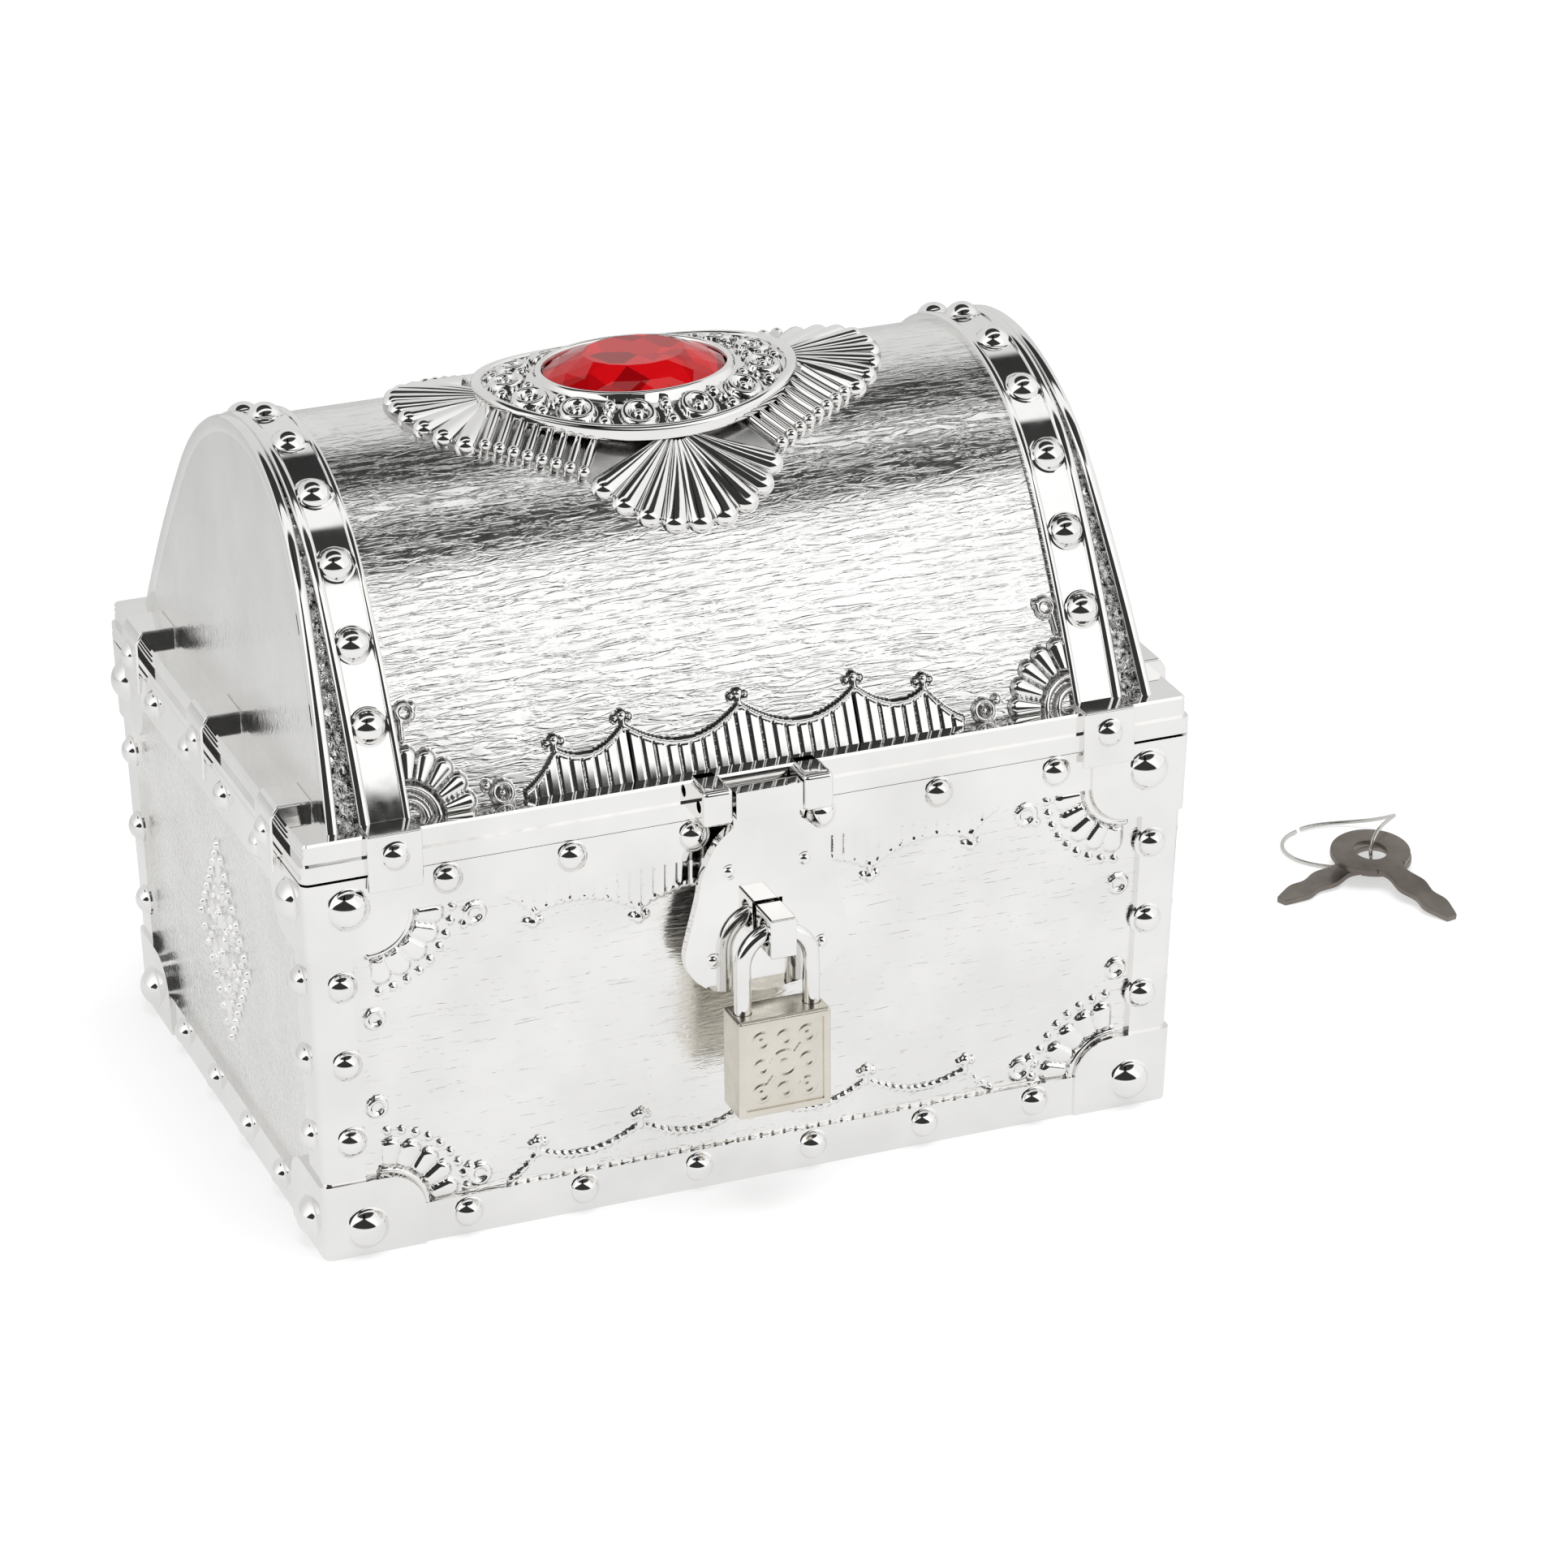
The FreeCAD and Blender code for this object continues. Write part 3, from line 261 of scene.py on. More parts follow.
# Studio, in metres and shares of full light: the floor dims from front to back as the metal mirrors
# it, and the world has a lit strip in a dark ceiling and a dark figure in front
floor_half = 30.0
floor_colours = ((0.90, 0.90, 0.90), (0.93, 0.93, 0.93))
floor_dimming = (0.12, 0.43)
floor_dimming_reach = (-0.1, 0.3)
floor_seen_glow = 0.55
floor_mirrored_glow = 0.85
ceiling_edge = (0.74, 0.79)
ceiling_dark = 0.96
strip_shift = 0.05
strip_edge = (0.10, 0.16)
least_rise = 0.05
least_forward = 0.02
figure_half_width = 0.15
figure_foot_width = 1.5
figure_height = 0.75
figure_edge = (-0.03, 0.03)
figure_front = (0.05, 0.15)
figure_dark = 0.97
front_wall = (0.0, 0.6)
front_wall_gain = 0.2
back_wall = (0.0, 0.7)
back_wall_loss = 0.25
plain_strength = 0.75
white = (1.0, 1.0, 1.0, 1.0)
lamp_target = (0, 0, 0.05)
lamps = (("overhead_lamp", (0.1, -0.2, 1.1), (0.9, 0.6), 9.0),
         ("front_lamp", (-0.7, -1.1, 0.9), (0.8, 0.8), 6.0))


# Mesh building

def quads(rows, columns, wrap_rows=False, wrap_columns=False):
    i, j = np.meshgrid(np.arange(rows if wrap_rows else rows - 1),
                       np.arange(columns if wrap_columns else columns - 1), indexing="ij")
    i, j = i.ravel(), j.ravel()
    below, beside = (i + 1) % rows, (j + 1) % columns
    corners = (i * columns + j, below * columns + j, below * columns + beside, i * columns + beside)
    return np.stack(corners, -1).tolist()


def face_means(values):
    return (values[:-1, :-1] + values[1:, :-1] + values[1:, 1:] + values[:-1, 1:]) / 4


def circle_about(axis, steps):
    axis = np.asarray(axis, float) / np.linalg.norm(axis)
    helper = (0.0, 0.0, 1.0) if abs(axis[2]) < 0.9 else (1.0, 0.0, 0.0)
    side = np.cross(axis, helper)
    side /= np.linalg.norm(side)
    turns = np.linspace(0, 2 * np.pi, steps, endpoint=False)
    return np.outer(np.cos(turns), side) + np.outer(np.sin(turns), np.cross(axis, side))


class Shape:
    """Points and faces of closed forms that make up one piece."""

    def __init__(self):
        self.points, self.faces = [], []
        self.painted_shade_faces, self.raised = [], []
        self.count = 0

    def add(self, points, faces):
        points = np.asarray(points, float).reshape(-1, 3)
        self.points.append(points)
        self.faces.extend([index + self.count for index in face] for face in faces)
        self.count += len(points)
        return self

    def tube(self, rings, closed=False):
        """Closed outlines joined in a row; the two ends are capped unless the row closes on itself."""
        rings = np.asarray(rings, float)
        rows, columns = rings.shape[:2]
        faces = quads(rows, columns, closed, True)
        if not closed:
            faces.append(list(range(columns)))
            faces.append(list(range((rows - 1) * columns, rows * columns)))
        return self.add(rings, faces)

    def along_x(self, outline, ends):
        return self.tube([[(x, y, z) for y, z in outline] for x in ends])

    def along_y(self, outline, ends):
        return self.tube([[(x, y, z) for x, z in outline] for y in ends])

    def along_z(self, outline, ends):
        return self.tube([[(x, y, z) for x, y in outline] for z in ends])

    def slab(self, place, across, along, relief, depth, steep_slope=None):
        """Relief on a surface: place(across, along, height) gives points, and the back is plain."""
        grid_along, grid_across = np.meshgrid(along, across, indexing="ij")
        heights = relief(grid_across, grid_along)
        top = place(grid_across, grid_along, heights)
        rows, columns = top.shape[:2]
        # Faces steeper than steep_slope are listed for a darker look, painted shade on the relief's slopes;
        # raised faces that are left are listed for a polished look.
        if steep_slope:
            painted_shade_faces = face_means(np.hypot(*np.gradient(heights, along, across))) > steep_slope
            raised = ~painted_shade_faces & (face_means(heights) > raised_height)
            self.painted_shade_faces = np.nonzero(painted_shade_faces.ravel())[0].tolist()
            self.raised = np.nonzero(raised.ravel())[0].tolist()
        sides = [place(np.full(rows, end), along, np.full(rows, -depth))
                 for end in (across[0], across[-1])]
        left = rows * columns
        right = left + rows
        faces = quads(rows, columns)
        for i in range(rows - 1):
            start, following = i * columns, (i + 1) * columns
            faces.append([start, left + i, left + i + 1, following])
            faces.append([following - 1, following + columns - 1, right + i + 1, right + i])
            faces.append([left + i, right + i, right + i + 1, left + i + 1])
        last = (rows - 1) * columns
        faces.append(list(range(columns)) + [right, left])
        faces.append(list(range(last, last + columns)) + [right + rows - 1, left + rows - 1])
        return self.add(np.concatenate([top.reshape(-1, 3)] + sides), faces)

    def block(self, low, high):
        corners = [(low[0], low[1]), (high[0], low[1]), (high[0], high[1]), (low[0], high[1])]
        return self.along_z(corners, (low[2], high[2]))

    def rod(self, start, end, radius, steps=32):
        start, end = np.array(start, float), np.array(end, float)
        ring = radius * circle_about(end - start, steps)
        return self.tube([ring + start, ring + end])

    def turned(self, place, outward, profile, steps=36):
        """Profile of (radius, height) turned about an axis."""
        circle, outward = circle_about(outward, steps), np.array(outward, float)
        return self.tube([np.array(place) + radius * circle + height * outward for radius, height in profile])

    def stud(self, place, outward, size):
        half, rise = size[0] / 2, size[1]
        radius = (half * half + rise * rise) / (2 * rise)
        profile = [(half + stud_skirt, -stud_sink), (half + stud_skirt, 0.0),
                   (half + stud_skirt / 2, stud_skirt / 5)]
        for turn in np.linspace(math.asin(half / radius) * 0.95, 0.01, 12):
            profile.append((radius * math.sin(turn), rise - radius + radius * math.cos(turn)))
        return self.turned(place, outward, profile)

    def object(self, name):
        mesh = bpy.data.meshes.new(name)
        mesh.from_pydata((np.concatenate(self.points) * MM).tolist(), [], self.faces)
        turner = bmesh.new()
        turner.from_mesh(mesh)
        bmesh.ops.recalc_face_normals(turner, faces=turner.faces)
        turner.to_mesh(mesh)
        turner.free()
        return linked(name, mesh)


def linked(name, data):
    made = bpy.data.objects.new(name, data)
    bpy.context.scene.collection.objects.link(made)
    return made


def apply_modifiers(made):
    bpy.context.view_layer.update()
    graph = bpy.context.evaluated_depsgraph_get()
    mesh = bpy.data.meshes.new_from_object(made.evaluated_get(graph))
    made.modifiers.clear()
    made.data = mesh


def combine(made, others, operation):
    for other in others:
        change = made.modifiers.new(operation, "BOOLEAN")
        change.operation = operation
        change.solver = "EXACT"
        change.use_self = operation != "DIFFERENCE"
        change.object = other
    apply_modifiers(made)
    for other in others:
        bpy.data.objects.remove(other)


def soften(made, width, segments=3):
    rounding = made.modifiers.new("round", "BEVEL")
    rounding.width = width * MM
    rounding.segments = segments
    rounding.limit_method = "ANGLE"
    rounding.angle_limit = math.radians(40)
    apply_modifiers(made)


def finish_piece(made, look, body="lid", replaced=(), flat=False, sharp=50, marked=()):
    """Looks and body of a piece, and the CAD parts it hides; marked is rows of (look, faces) for faces with
    another look.
    """
    mesh = made.data
    mesh.materials.clear()
    mesh.materials.append(look)
    for number, (other_look, faces) in enumerate(marked, 1):
        mesh.materials.append(other_look)
        for index in faces:
            mesh.polygons[index].material_index = number
    mesh.polygons.foreach_set("use_smooth", [not flat] * len(mesh.polygons))
    if not flat:
        mesh.set_sharp_from_angle(angle=math.radians(sharp))
        weigh = made.modifiers.new("weigh", "WEIGHTED_NORMAL")
        weigh.keep_sharp = True
        apply_modifiers(made)
    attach(made, body)
    if replaced:
        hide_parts(*replaced)


def box_mm(node):
    return [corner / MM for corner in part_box(node)]


def rounded_rectangle(half_x, half_y, radius, steps=6):
    points = []
    for quarter, (sign_x, sign_y) in enumerate(((1, 1), (-1, 1), (-1, -1), (1, -1))):
        for turn in np.linspace(quarter, quarter + 1, steps + 1) * math.pi / 2:
            points.append((sign_x * (half_x - radius) + radius * math.cos(turn),
                           sign_y * (half_y - radius) + radius * math.sin(turn)))
    return points


def smooth_line(points, steps=6):
    """Catmull-Rom curve through points."""
    points = np.array(points, float)
    padded = np.concatenate([2 * points[:1] - points[1:2], points, 2 * points[-1:] - points[-2:-1]])
    line = []
    for i in range(len(points) - 1):
        a, b, c, d = padded[i:i + 4]
        for t in np.linspace(0, 1, steps, endpoint=False):
            line.append(0.5 * (2 * b + (c - a) * t + (2 * a - 5 * b + 4 * c - d) * t ** 2
                               + (3 * b - a - 3 * c + d) * t ** 3))
    line.append(points[-1])
    return np.array(line)


# Relief stamps: heights over a flat map

def rounded(off):
    return np.sqrt(np.clip(1 - off ** 2, 0, 1))


def dome(x, y, centre_x, centre_y, radius, rise):
    return rise * np.sqrt(np.clip(1 - ((x - centre_x) ** 2 + (y - centre_y) ** 2) / radius ** 2, 0, 1))


def hoop(x, y, centre_x, centre_y, radius, width, rise):
    return rise * rounded((np.hypot(x - centre_x, y - centre_y) - radius) / (width / 2))


def stroke(x, y, start, end, width, rise):
    run_x, run_y = end[0] - start[0], end[1] - start[1]
    share = np.clip(((x - start[0]) * run_x + (y - start[1]) * run_y) / (run_x ** 2 + run_y ** 2), 0, 1)
    return rise * rounded(np.hypot(x - start[0] - share * run_x, y - start[1] - share * run_y) / (width / 2))


def pile(*heights):
    return np.maximum.reduce(heights)


def stamped(x, y, marks):
    """Highest of a row of marks, each a stamp with its numbers."""
    return pile(*(stamp(x, y, *numbers) for stamp, *numbers in marks))


fringe_pitch = 2.0
rib_flatness = 3.5
cord_half = 0.55
cord_swell = 1.4
post_stem = (-0.5, 1.3, 0.9, 0.7)
post_knobs = ((0.0, 1.7, 0.95, 0.9), (1.2, 1.4, 0.6, 0.6), (-1.2, 1.4, 0.6, 0.6))
shell_petals = 5
shell_rise = 0.9
shell_scallop = 1.5
shell_edge = 0.8
shell_arc_spacing = 2
shell_arc_width = 1.3


def fringe(x, climb, posts, sags, rise=0.55, rib_rise=0.55, beads=0.0):
    """Ribbed fringe under swags between knobbed posts; posts are (place, height) from the middle out."""
    far = np.abs(x)
    places, tops = np.array(posts).T
    edge = np.interp(far, places, tops)
    for start, end, sag in zip(places, places[1:], sags):
        share = np.clip((far - start) / (end - start), 0, 1)
        edge = edge - 4 * sag * share * (1 - share)
    within = far < places[-1]
    phase = np.abs((far / fringe_pitch + 0.5) % 1.0 * 2 - 1)
    rib = rib_rise * np.sqrt(np.clip((1 - phase) * rib_flatness, 0, 1))
    cord = np.where(within, rise * cord_swell * rounded((climb - edge) / cord_half), 0)
    if beads:
        cord = cord * np.sqrt(np.abs(np.cos(np.pi * far / beads)))
    total = pile(np.where(within & (climb < edge), rib, 0), cord)
    foot, top, width, high = post_stem
    for place, height in posts[:-1]:
        knobs = [dome(far, climb, place + aside, height + up, *size) for aside, up, *size in post_knobs]
        stem = stroke(far, climb, (place, height + foot), (place, height + top), width, high)
        total = pile(total, stem, *knobs)
    return total


def fan(x, y, corner, inner, outer, arcs=2):
    """Quarter shell of petals round a corner, with arcs inside it; y counts up from the corner."""
    run = corner - x
    radius = np.hypot(run, y)
    turn = np.arctan2(y, run) / (math.pi / 2)
    crown = rounded(np.abs((turn * shell_petals) % 1.0 * 2 - 1))
    reach = outer - shell_scallop + shell_scallop * crown
    inside = (radius > inner) & (radius < reach) & (turn >= 0) & (turn <= 1)
    lobes = np.where(inside, shell_rise * crown * np.clip((reach - radius) / shell_edge, 0, 1) ** 0.5, 0)
    quarter = (turn >= -0.05) & (turn <= 1.05)
    for step in range(arcs):
        arc = hoop(run, y, 0, 0, inner - 1 - shell_arc_spacing * step, shell_arc_width, shell_rise)
        lobes = pile(lobes, np.where(quarter, arc, 0))
    return lobes


# Surfaces that the relief lies on

def base_half(z, inset):
    lean = base_taper * (1 - z / seam_height)
    return rim_width / 2 - lean - inset, rim_depth / 2 - lean - inset


def base_side(side):
    """Map from (across, height, outward) on one side of the base to points; outward 0 is the panel."""
    normal_x, normal_y = base_normals[side]

    def place(across, z, outward):
        far = base_half(z, panel_inset)[abs(normal_y)] + outward
        return np.stack([normal_x * far - normal_y * across, normal_y * far + normal_x * across, z], -1)
    return place


crown_length = crown_radius * crown_turn
crown_z = crest_height - crown_radius
join_y = crown_radius * math.sin(crown_turn)
join_z = crown_z + crown_radius * math.cos(crown_turn)
foot_run = (arch_foot - join_y, ledge_height - join_z)
flank_radius = -(foot_run[0] ** 2 + foot_run[1] ** 2) / (
    2 * (foot_run[0] * math.sin(crown_turn) + foot_run[1] * math.cos(crown_turn)))
flank_y = join_y - flank_radius * math.sin(crown_turn)
flank_z = join_z - flank_radius * math.cos(crown_turn)
foot_turn = math.acos((ledge_height - flank_z) / flank_radius)
arch_length = crown_length + flank_radius * (foot_turn - crown_turn)


def arch(length, offset):
    """Y and Z of the lid's arch at an arc length from the crest, which is negative at the front."""
    run = np.abs(length)
    on_crown = run <= crown_length
    turn = np.where(on_crown, run / crown_radius, crown_turn + (run - crown_length) / flank_radius)
    radius = np.where(on_crown, crown_radius, flank_radius) + offset
    y = np.where(on_crown, 0.0, flank_y) + radius * np.sin(turn)
    z = np.where(on_crown, crown_z, flank_z) + radius * np.cos(turn)
    return np.sign(length) * y, z


def arch_height(y, offset):
    """Height of the arch over a point of the plan."""
    far = np.abs(y)
    crown = crown_z + np.sqrt(np.clip((crown_radius + offset) ** 2 - far ** 2, 0, None))
    flank = flank_z + np.sqrt(np.clip((flank_radius + offset) ** 2 - (far - flank_y) ** 2, 0, None))
    return np.where(far <= (crown_radius + offset) * math.sin(crown_turn), crown, flank)


def lid_surface(x, length, outward):
    y, z = arch(length, outward - panel_drop)
    return np.stack([x, y, z], -1)


# Materials

class Tree:
    """Shader nodes of a material or of the world."""

    def __init__(self, owner):
        owner.use_nodes = True
        self.nodes, self.links = owner.node_tree.nodes, owner.node_tree.links

    def feed(self, socket, value):
        """Puts a number or colour on a socket, or links another node's output to it."""
        if isinstance(value, bpy.types.NodeSocket):
            self.links.new(value, socket)
        else:
            socket.default_value = value

    def node(self, kind, **inputs):
        """New node; an input's name has underscores for its spaces."""
        made = self.nodes.new("ShaderNode" + kind)
        for name, value in inputs.items():
            self.feed(made.inputs[name.replace("_", " ")], value)
        return made

    def math(self, operation, *values):
        made = self.nodes.new("ShaderNodeMath")
        made.operation = operation
        for socket, value in zip(made.inputs, values):
            self.feed(socket, value)
        return made.outputs[0]

    def mix(self, share, first, second):
        made = self.node("MixShader", Fac=share)
        self.links.new(first, made.inputs[1])
        self.links.new(second, made.inputs[2])
        return made.outputs[0]

    def noise(self, scale, detail=2.0, stretch=(1, 1, 1), distortion=0.0):
        mapping = self.node("Mapping", Vector=self.node("TexCoord").outputs["Object"], Scale=stretch)
        return self.node("TexNoise", Vector=mapping.outputs["Vector"], Scale=scale, Detail=detail,
                         Distortion=distortion).outputs["Fac"]

    def ranged(self, value, low, high, start=0.3, end=0.7):
        return self.node("MapRange", Value=value, From_Min=start, From_Max=end, To_Min=low,
                         To_Max=high).outputs["Result"]

    def tinted(self, value, dark, light, start=0.3, end=0.7):
        ramp = self.node("ValToRGB", Fac=value)
        for element, place, colour in zip(ramp.color_ramp.elements, (start, end), (dark, light)):
            element.position = place
            element.color = (*colour, 1)
        return ramp.outputs["Color"]

    def bumped(self, value, depth, below=None):
        bump = self.node("Bump", Height=value, Distance=depth * MM)
        if below is not None:
            self.feed(bump.inputs["Normal"], below)
        return bump.outputs["Normal"]

    def creased(self, value):
        """Turns soft noise into thin creases."""
        fold = self.math("ABSOLUTE", self.math("SUBTRACT", value, 0.5))
        return self.ranged(fold, 0.0, 1.0, 0.0, 0.12)


def new_look(name):
    """A material, its tree and its shader's inputs."""
    look = bpy.data.materials.new(name)
    tree = Tree(look)
    return look, tree, tree.nodes["Principled BSDF"].inputs


smear_scale = 420.0
wave_scale = 130.0
grain_distortion = 0.7


def metal(name, dark, light, rough, wave_depth=0.0, grain=None, cloud_scale=70.0):
    """Plated or bare metal; grain is (stretch, scale, depth, creased)."""
    look, tree, shader = new_look(name)
    shader["Metallic"].default_value = 1.0
    tree.feed(shader["Base Color"], tree.tinted(tree.noise(cloud_scale, 3.0), dark, light))
    tree.feed(shader["Roughness"], tree.ranged(tree.noise(smear_scale, 3.0), *rough))
    normal = tree.bumped(tree.noise(wave_scale, 1.0), wave_depth) if wave_depth else None
    if grain:
        stretch, scale, depth, creased = grain
        pattern = tree.noise(scale, 3.0, stretch, grain_distortion)
        normal = tree.bumped(tree.creased(pattern) if creased else pattern, depth, normal)
    tree.feed(shader["Normal"], normal)
    return look


def fine(scale, depth):
    return ((1, 1, 1), scale, depth, False)


silver = ((0.84, 0.835, 0.82), (0.92, 0.915, 0.90))
bark = ((0.15, 1, 1), 1000.0, 0.025, True)
drawn = ((0.1, 1, 1), 1500.0, 0.01, False)
polished = metal("polished_silver", *silver, (0.04, 0.09), 0.02)
grained = metal("grained_silver", *silver, (0.12, 0.2), 0.05, bark)
satin = metal("satin_silver", *silver, (0.16, 0.26), 0.02, fine(1100.0, 0.06))
# Groove strips: silver tinted down to near black in random patches, a painted dark reflection among the
# wrinkles.
groove_painted_reflection = metal("wrinkled_silver_painted_reflection", (0.03, 0.03, 0.03), silver[1], (0.03, 0.07), 0.02, fine(620.0, 0.7), 1000.0)
# Near-black metal for the steepest faces among the lid's fringe ribs and for the bezel's scroll outlines:
# painted shade.
recess = metal("painted_shade_dark", (0.04, 0.04, 0.04), (0.12, 0.12, 0.118), (0.25, 0.4), 0.02)
# Mid-grey metal for steep relief faces and the plate under the crown's shells: painted shade.
painted_shade_pale = metal("painted_shade_pale", (0.40, 0.395, 0.39), (0.56, 0.555, 0.545), (0.2, 0.3), 0.02)
nickel = metal("satin_nickel", (0.70, 0.66, 0.58), (0.82, 0.78, 0.70), (0.22, 0.34), grain=fine(1500.0, 0.02))
key_steel = metal("key_steel", (0.19, 0.165, 0.145), (0.32, 0.285, 0.255), (0.28, 0.42),
                  grain=fine(1200.0, 0.02))
pin_steel = metal("pin_steel", (0.48, 0.48, 0.48), (0.60, 0.60, 0.60), (0.20, 0.32), grain=drawn)
wire_steel = metal("wire_steel", (0.58, 0.57, 0.54), (0.74, 0.73, 0.70), (0.18, 0.28),
                   grain=fine(1500.0, 0.01))
brass = metal("lock_brass", (0.55, 0.42, 0.20), (0.68, 0.54, 0.28), (0.22, 0.34), grain=fine(1500.0, 0.02))


def red_stone():
    look, tree, shader = new_look("red_stone")
    # Random patches of dark and light red stand in for facets catching light: painted facet shade and
    # highlight.
    cells = tree.node("TexVoronoi", Vector=tree.node("TexCoord").outputs["Object"], Scale=210.0)
    shade = tree.node("SeparateColor", Color=cells.outputs["Color"]).outputs["Red"]
    tree.feed(shader["Base Color"], tree.tinted(shade, (0.16, 0.0, 0.001), (0.40, 0.002, 0.004), 0.05, 0.8))
    tree.feed(shader["Roughness"], tree.ranged(tree.noise(300.0), 0.02, 0.05))
    shader["IOR"].default_value = 1.4
    shader["Coat Weight"].default_value = 0.15
    shader["Coat Roughness"].default_value = 0.02
    return look


stone = red_stone()


# Base

def tub_solid(name, inset, z_low, z_high):
    rings = [[(x, y, z) for x, y in rounded_rectangle(*base_half(z, inset), corner_radius)]
             for z in (z_low, z_high)]
    return Shape().tube(rings).object(name)


def window_solid(along_y):
    """Block through both opposite sides between the bands."""
    z_low, z_high = band_width, seam_height - band_width
    middle, half_z = (z_low + z_high) / 2, (z_high - z_low) / 2
    index = 0 if along_y else 1
    inset = band_inset + band_width
    half = base_half(middle, inset)[index]
    rings = []
    for far in (-rim_width, rim_width):
        ring = []
        for across, z in rounded_rectangle(half, half_z, corner_radius):
            z += middle
            across *= base_half(z, inset)[index] / half
            ring.append((across, far, z) if along_y else (far, across, z))
        rings.append(ring)
    return Shape().tube(rings).object("window")


def corner_plate_outline(inner, outer, z_low, z_high, round_low):
    """Rectangle whose inner corner is rounded."""
    turns = np.linspace(0, math.pi / 2, 9)
    radius = corner_plate_round
    arc = [(inner + radius - radius * math.cos(turn), radius - radius * math.sin(turn)) for turn in turns]
    if round_low:
        return [(x, z_low + z) for x, z in arc] + [(outer, z_low), (outer, z_high), (inner, z_high)]
    return [(x, z_high - z) for x, z in arc] + [(outer, z_high), (outer, z_low), (inner, z_low)]


def corner_plates():
    plates = Shape()
    for z_low, round_low in ((0.0, False), (seam_height - corner_plate_height, True)):
        z_high = z_low + corner_plate_height
        half = base_half((z_low + z_high) / 2, 0)
        for sign_x, sign_y in CORNERS:
            for index in (0, 1):
                outline = corner_plate_outline(half[index] - corner_plate_width, half[index] + overrun,
                                               z_low, z_high, round_low)
                rings = []
                for far in (half[1 - index] - corner_plate_round, half[1 - index] + overrun):
                    ring = [(near, far, z) if index == 0 else (far, near, z) for near, z in outline]
                    rings.append(np.array(ring) * (sign_x, sign_y, 1))
                plates.tube(rings)
    made = plates.object("corner_plates")
    combine(made, [tub_solid("skin", 0.0, 0.0, seam_height)], "INTERSECT")
    return made


def hinge_part(shape, outline, ends):
    """Outline and barrel round the lid's hinge pin between two places."""
    shape.along_x([(hinge_y + y, hinge_z + z) for y, z in outline], ends)
    shape.rod((ends[0], hinge_y, hinge_z), (ends[1], hinge_y, hinge_z), knuckle_radius)


def hinge_ears():
    ears = Shape()
    for sign, side in CORNERS:
        near = sign * hinge_place + side * (knuckle_width / 2 + ear_gap)
        hinge_part(ears, ear_outline, (near, near + side * ear_width))
    return ears.object("hinge_ears")


def base_body():
    made = tub_solid("base_body", band_inset, 0.0, seam_height)
    combine(made, [window_solid(True), window_solid(False)], "DIFFERENCE")
    combine(made, [tub_solid("core", panel_inset + panel_backing, 0.0, seam_height), corner_plates(),
                   hinge_ears()], "UNION")
    combine(made, [tub_solid("inside", panel_inset + wall, tub_floor, seam_height + mouth_overrun)],
            "DIFFERENCE")
    soften(made, edge_round)
    finish_piece(made, polished, "base", ["base_tub"])


def base_studs():
    studs = Shape()
    for side, normal in base_normals.items():
        place = base_side(side)
        index = abs(normal[0])
        outward = place(0.0, 0.0, 1.0) - place(0.0, 0.0, 0.0)
        tops, bottoms = ((long_top_studs, long_bottom_studs), (short_top_studs, short_bottom_studs))[index]
        spots = [(along, top_stud_height) for along in tops]
        spots += [(along, bottom_stud_height) for along in bottoms]
        spots += [(base_half(z, column_stud_from_side)[index], z) for z in column_stud_heights]
        corners = [(base_half(z, corner_stud_from_side)[index], z)
                   for z in (corner_stud_from_end, seam_height - corner_stud_from_end)]
        for sign in SIDES:
            for along, z in spots:
                studs.stud(place(sign * along, z, panel_inset - band_inset), outward, stud_size)
            for along, z in corners:
                studs.stud(place(sign * along, z, panel_inset), outward, corner_stud_size)
    finish_piece(studs.object("base_studs"), polished, "base")


panel_tuck = 0.6
panel_overlap = 0.2
panel_step = 0.25
panel_row_step = 0.32
panel_steep_slope = 1.6
cord_rise = 0.4
cord_beads = 1.3
shell_inner = 8.0
shell_outer = 12.6
shell_beads = 9
shell_bead = (0.7, 0.7)
shell_bead_reach = 13.9
top_fringe = ((0.0, 8.0), (19.6, 7.2), (37.2, 4.8), (42.0, 0.6)), (3.4, 2.4, 0.6)
top_rib_rise = 0.35
bottom_fringe = ((0.0, 7.4), (19.5, 6.6), (37.0, 5.0), (42.0, 0.6)), (3.6, 2.6, 0.6)
bottom_rib_rise = 0.18
long_panel_marks = ((hoop, 46.8, 3.0, 1.5, 1.0, 0.7), (dome, 48.6, 4.6, 0.8, 0.8),
                    (hoop, 63.5, 18.4, 1.4, 0.9, 0.7))
diamond_half = (13.0, 17.5)
diamond_rows = ((1.0, 9, 0.95), (0.72, 7, 0.75))
diamond_marks = ((hoop, 3.3, 3.6, 2.2, 1.0, 0.7), (dome, 3.3, 3.6, 0.8, 0.8), (dome, 0.0, 0.0, 1.6, 1.0),
                 (hoop, 0.0, 8.4, 1.5, 0.9, 0.7), (stroke, (0.0, 10.4), (0.0, 15.0), 1.0, 0.7),
                 (stroke, (5.8, 0.0), (8.6, 0.0), 1.0, 0.7))


def long_panel_relief(x, z):
    """Front and back panels: fringes at the top and the bottom, and shells at the corners."""
    half = base_half(z, corner_plate_width - corner_plate_round)[0]
    far = np.abs(x)
    heights = []
    for climb, swags, rib_rise in ((seam_height - band_width - z, top_fringe, top_rib_rise),
                                   (z - band_width, bottom_fringe, bottom_rib_rise)):
        heights += [fringe(x, climb, *swags, cord_rise, rib_rise, cord_beads),
                    fan(far, climb, half, shell_inner, shell_outer, arcs=1),
                    stamped(far, climb, long_panel_marks)]
        for step in range(shell_beads):
            turn = (step + 0.5) / shell_beads * math.pi / 2
            heights.append(dome(far, climb, half - shell_bead_reach * math.cos(turn),
                                shell_bead_reach * math.sin(turn), *shell_bead))
    return pile(*heights)


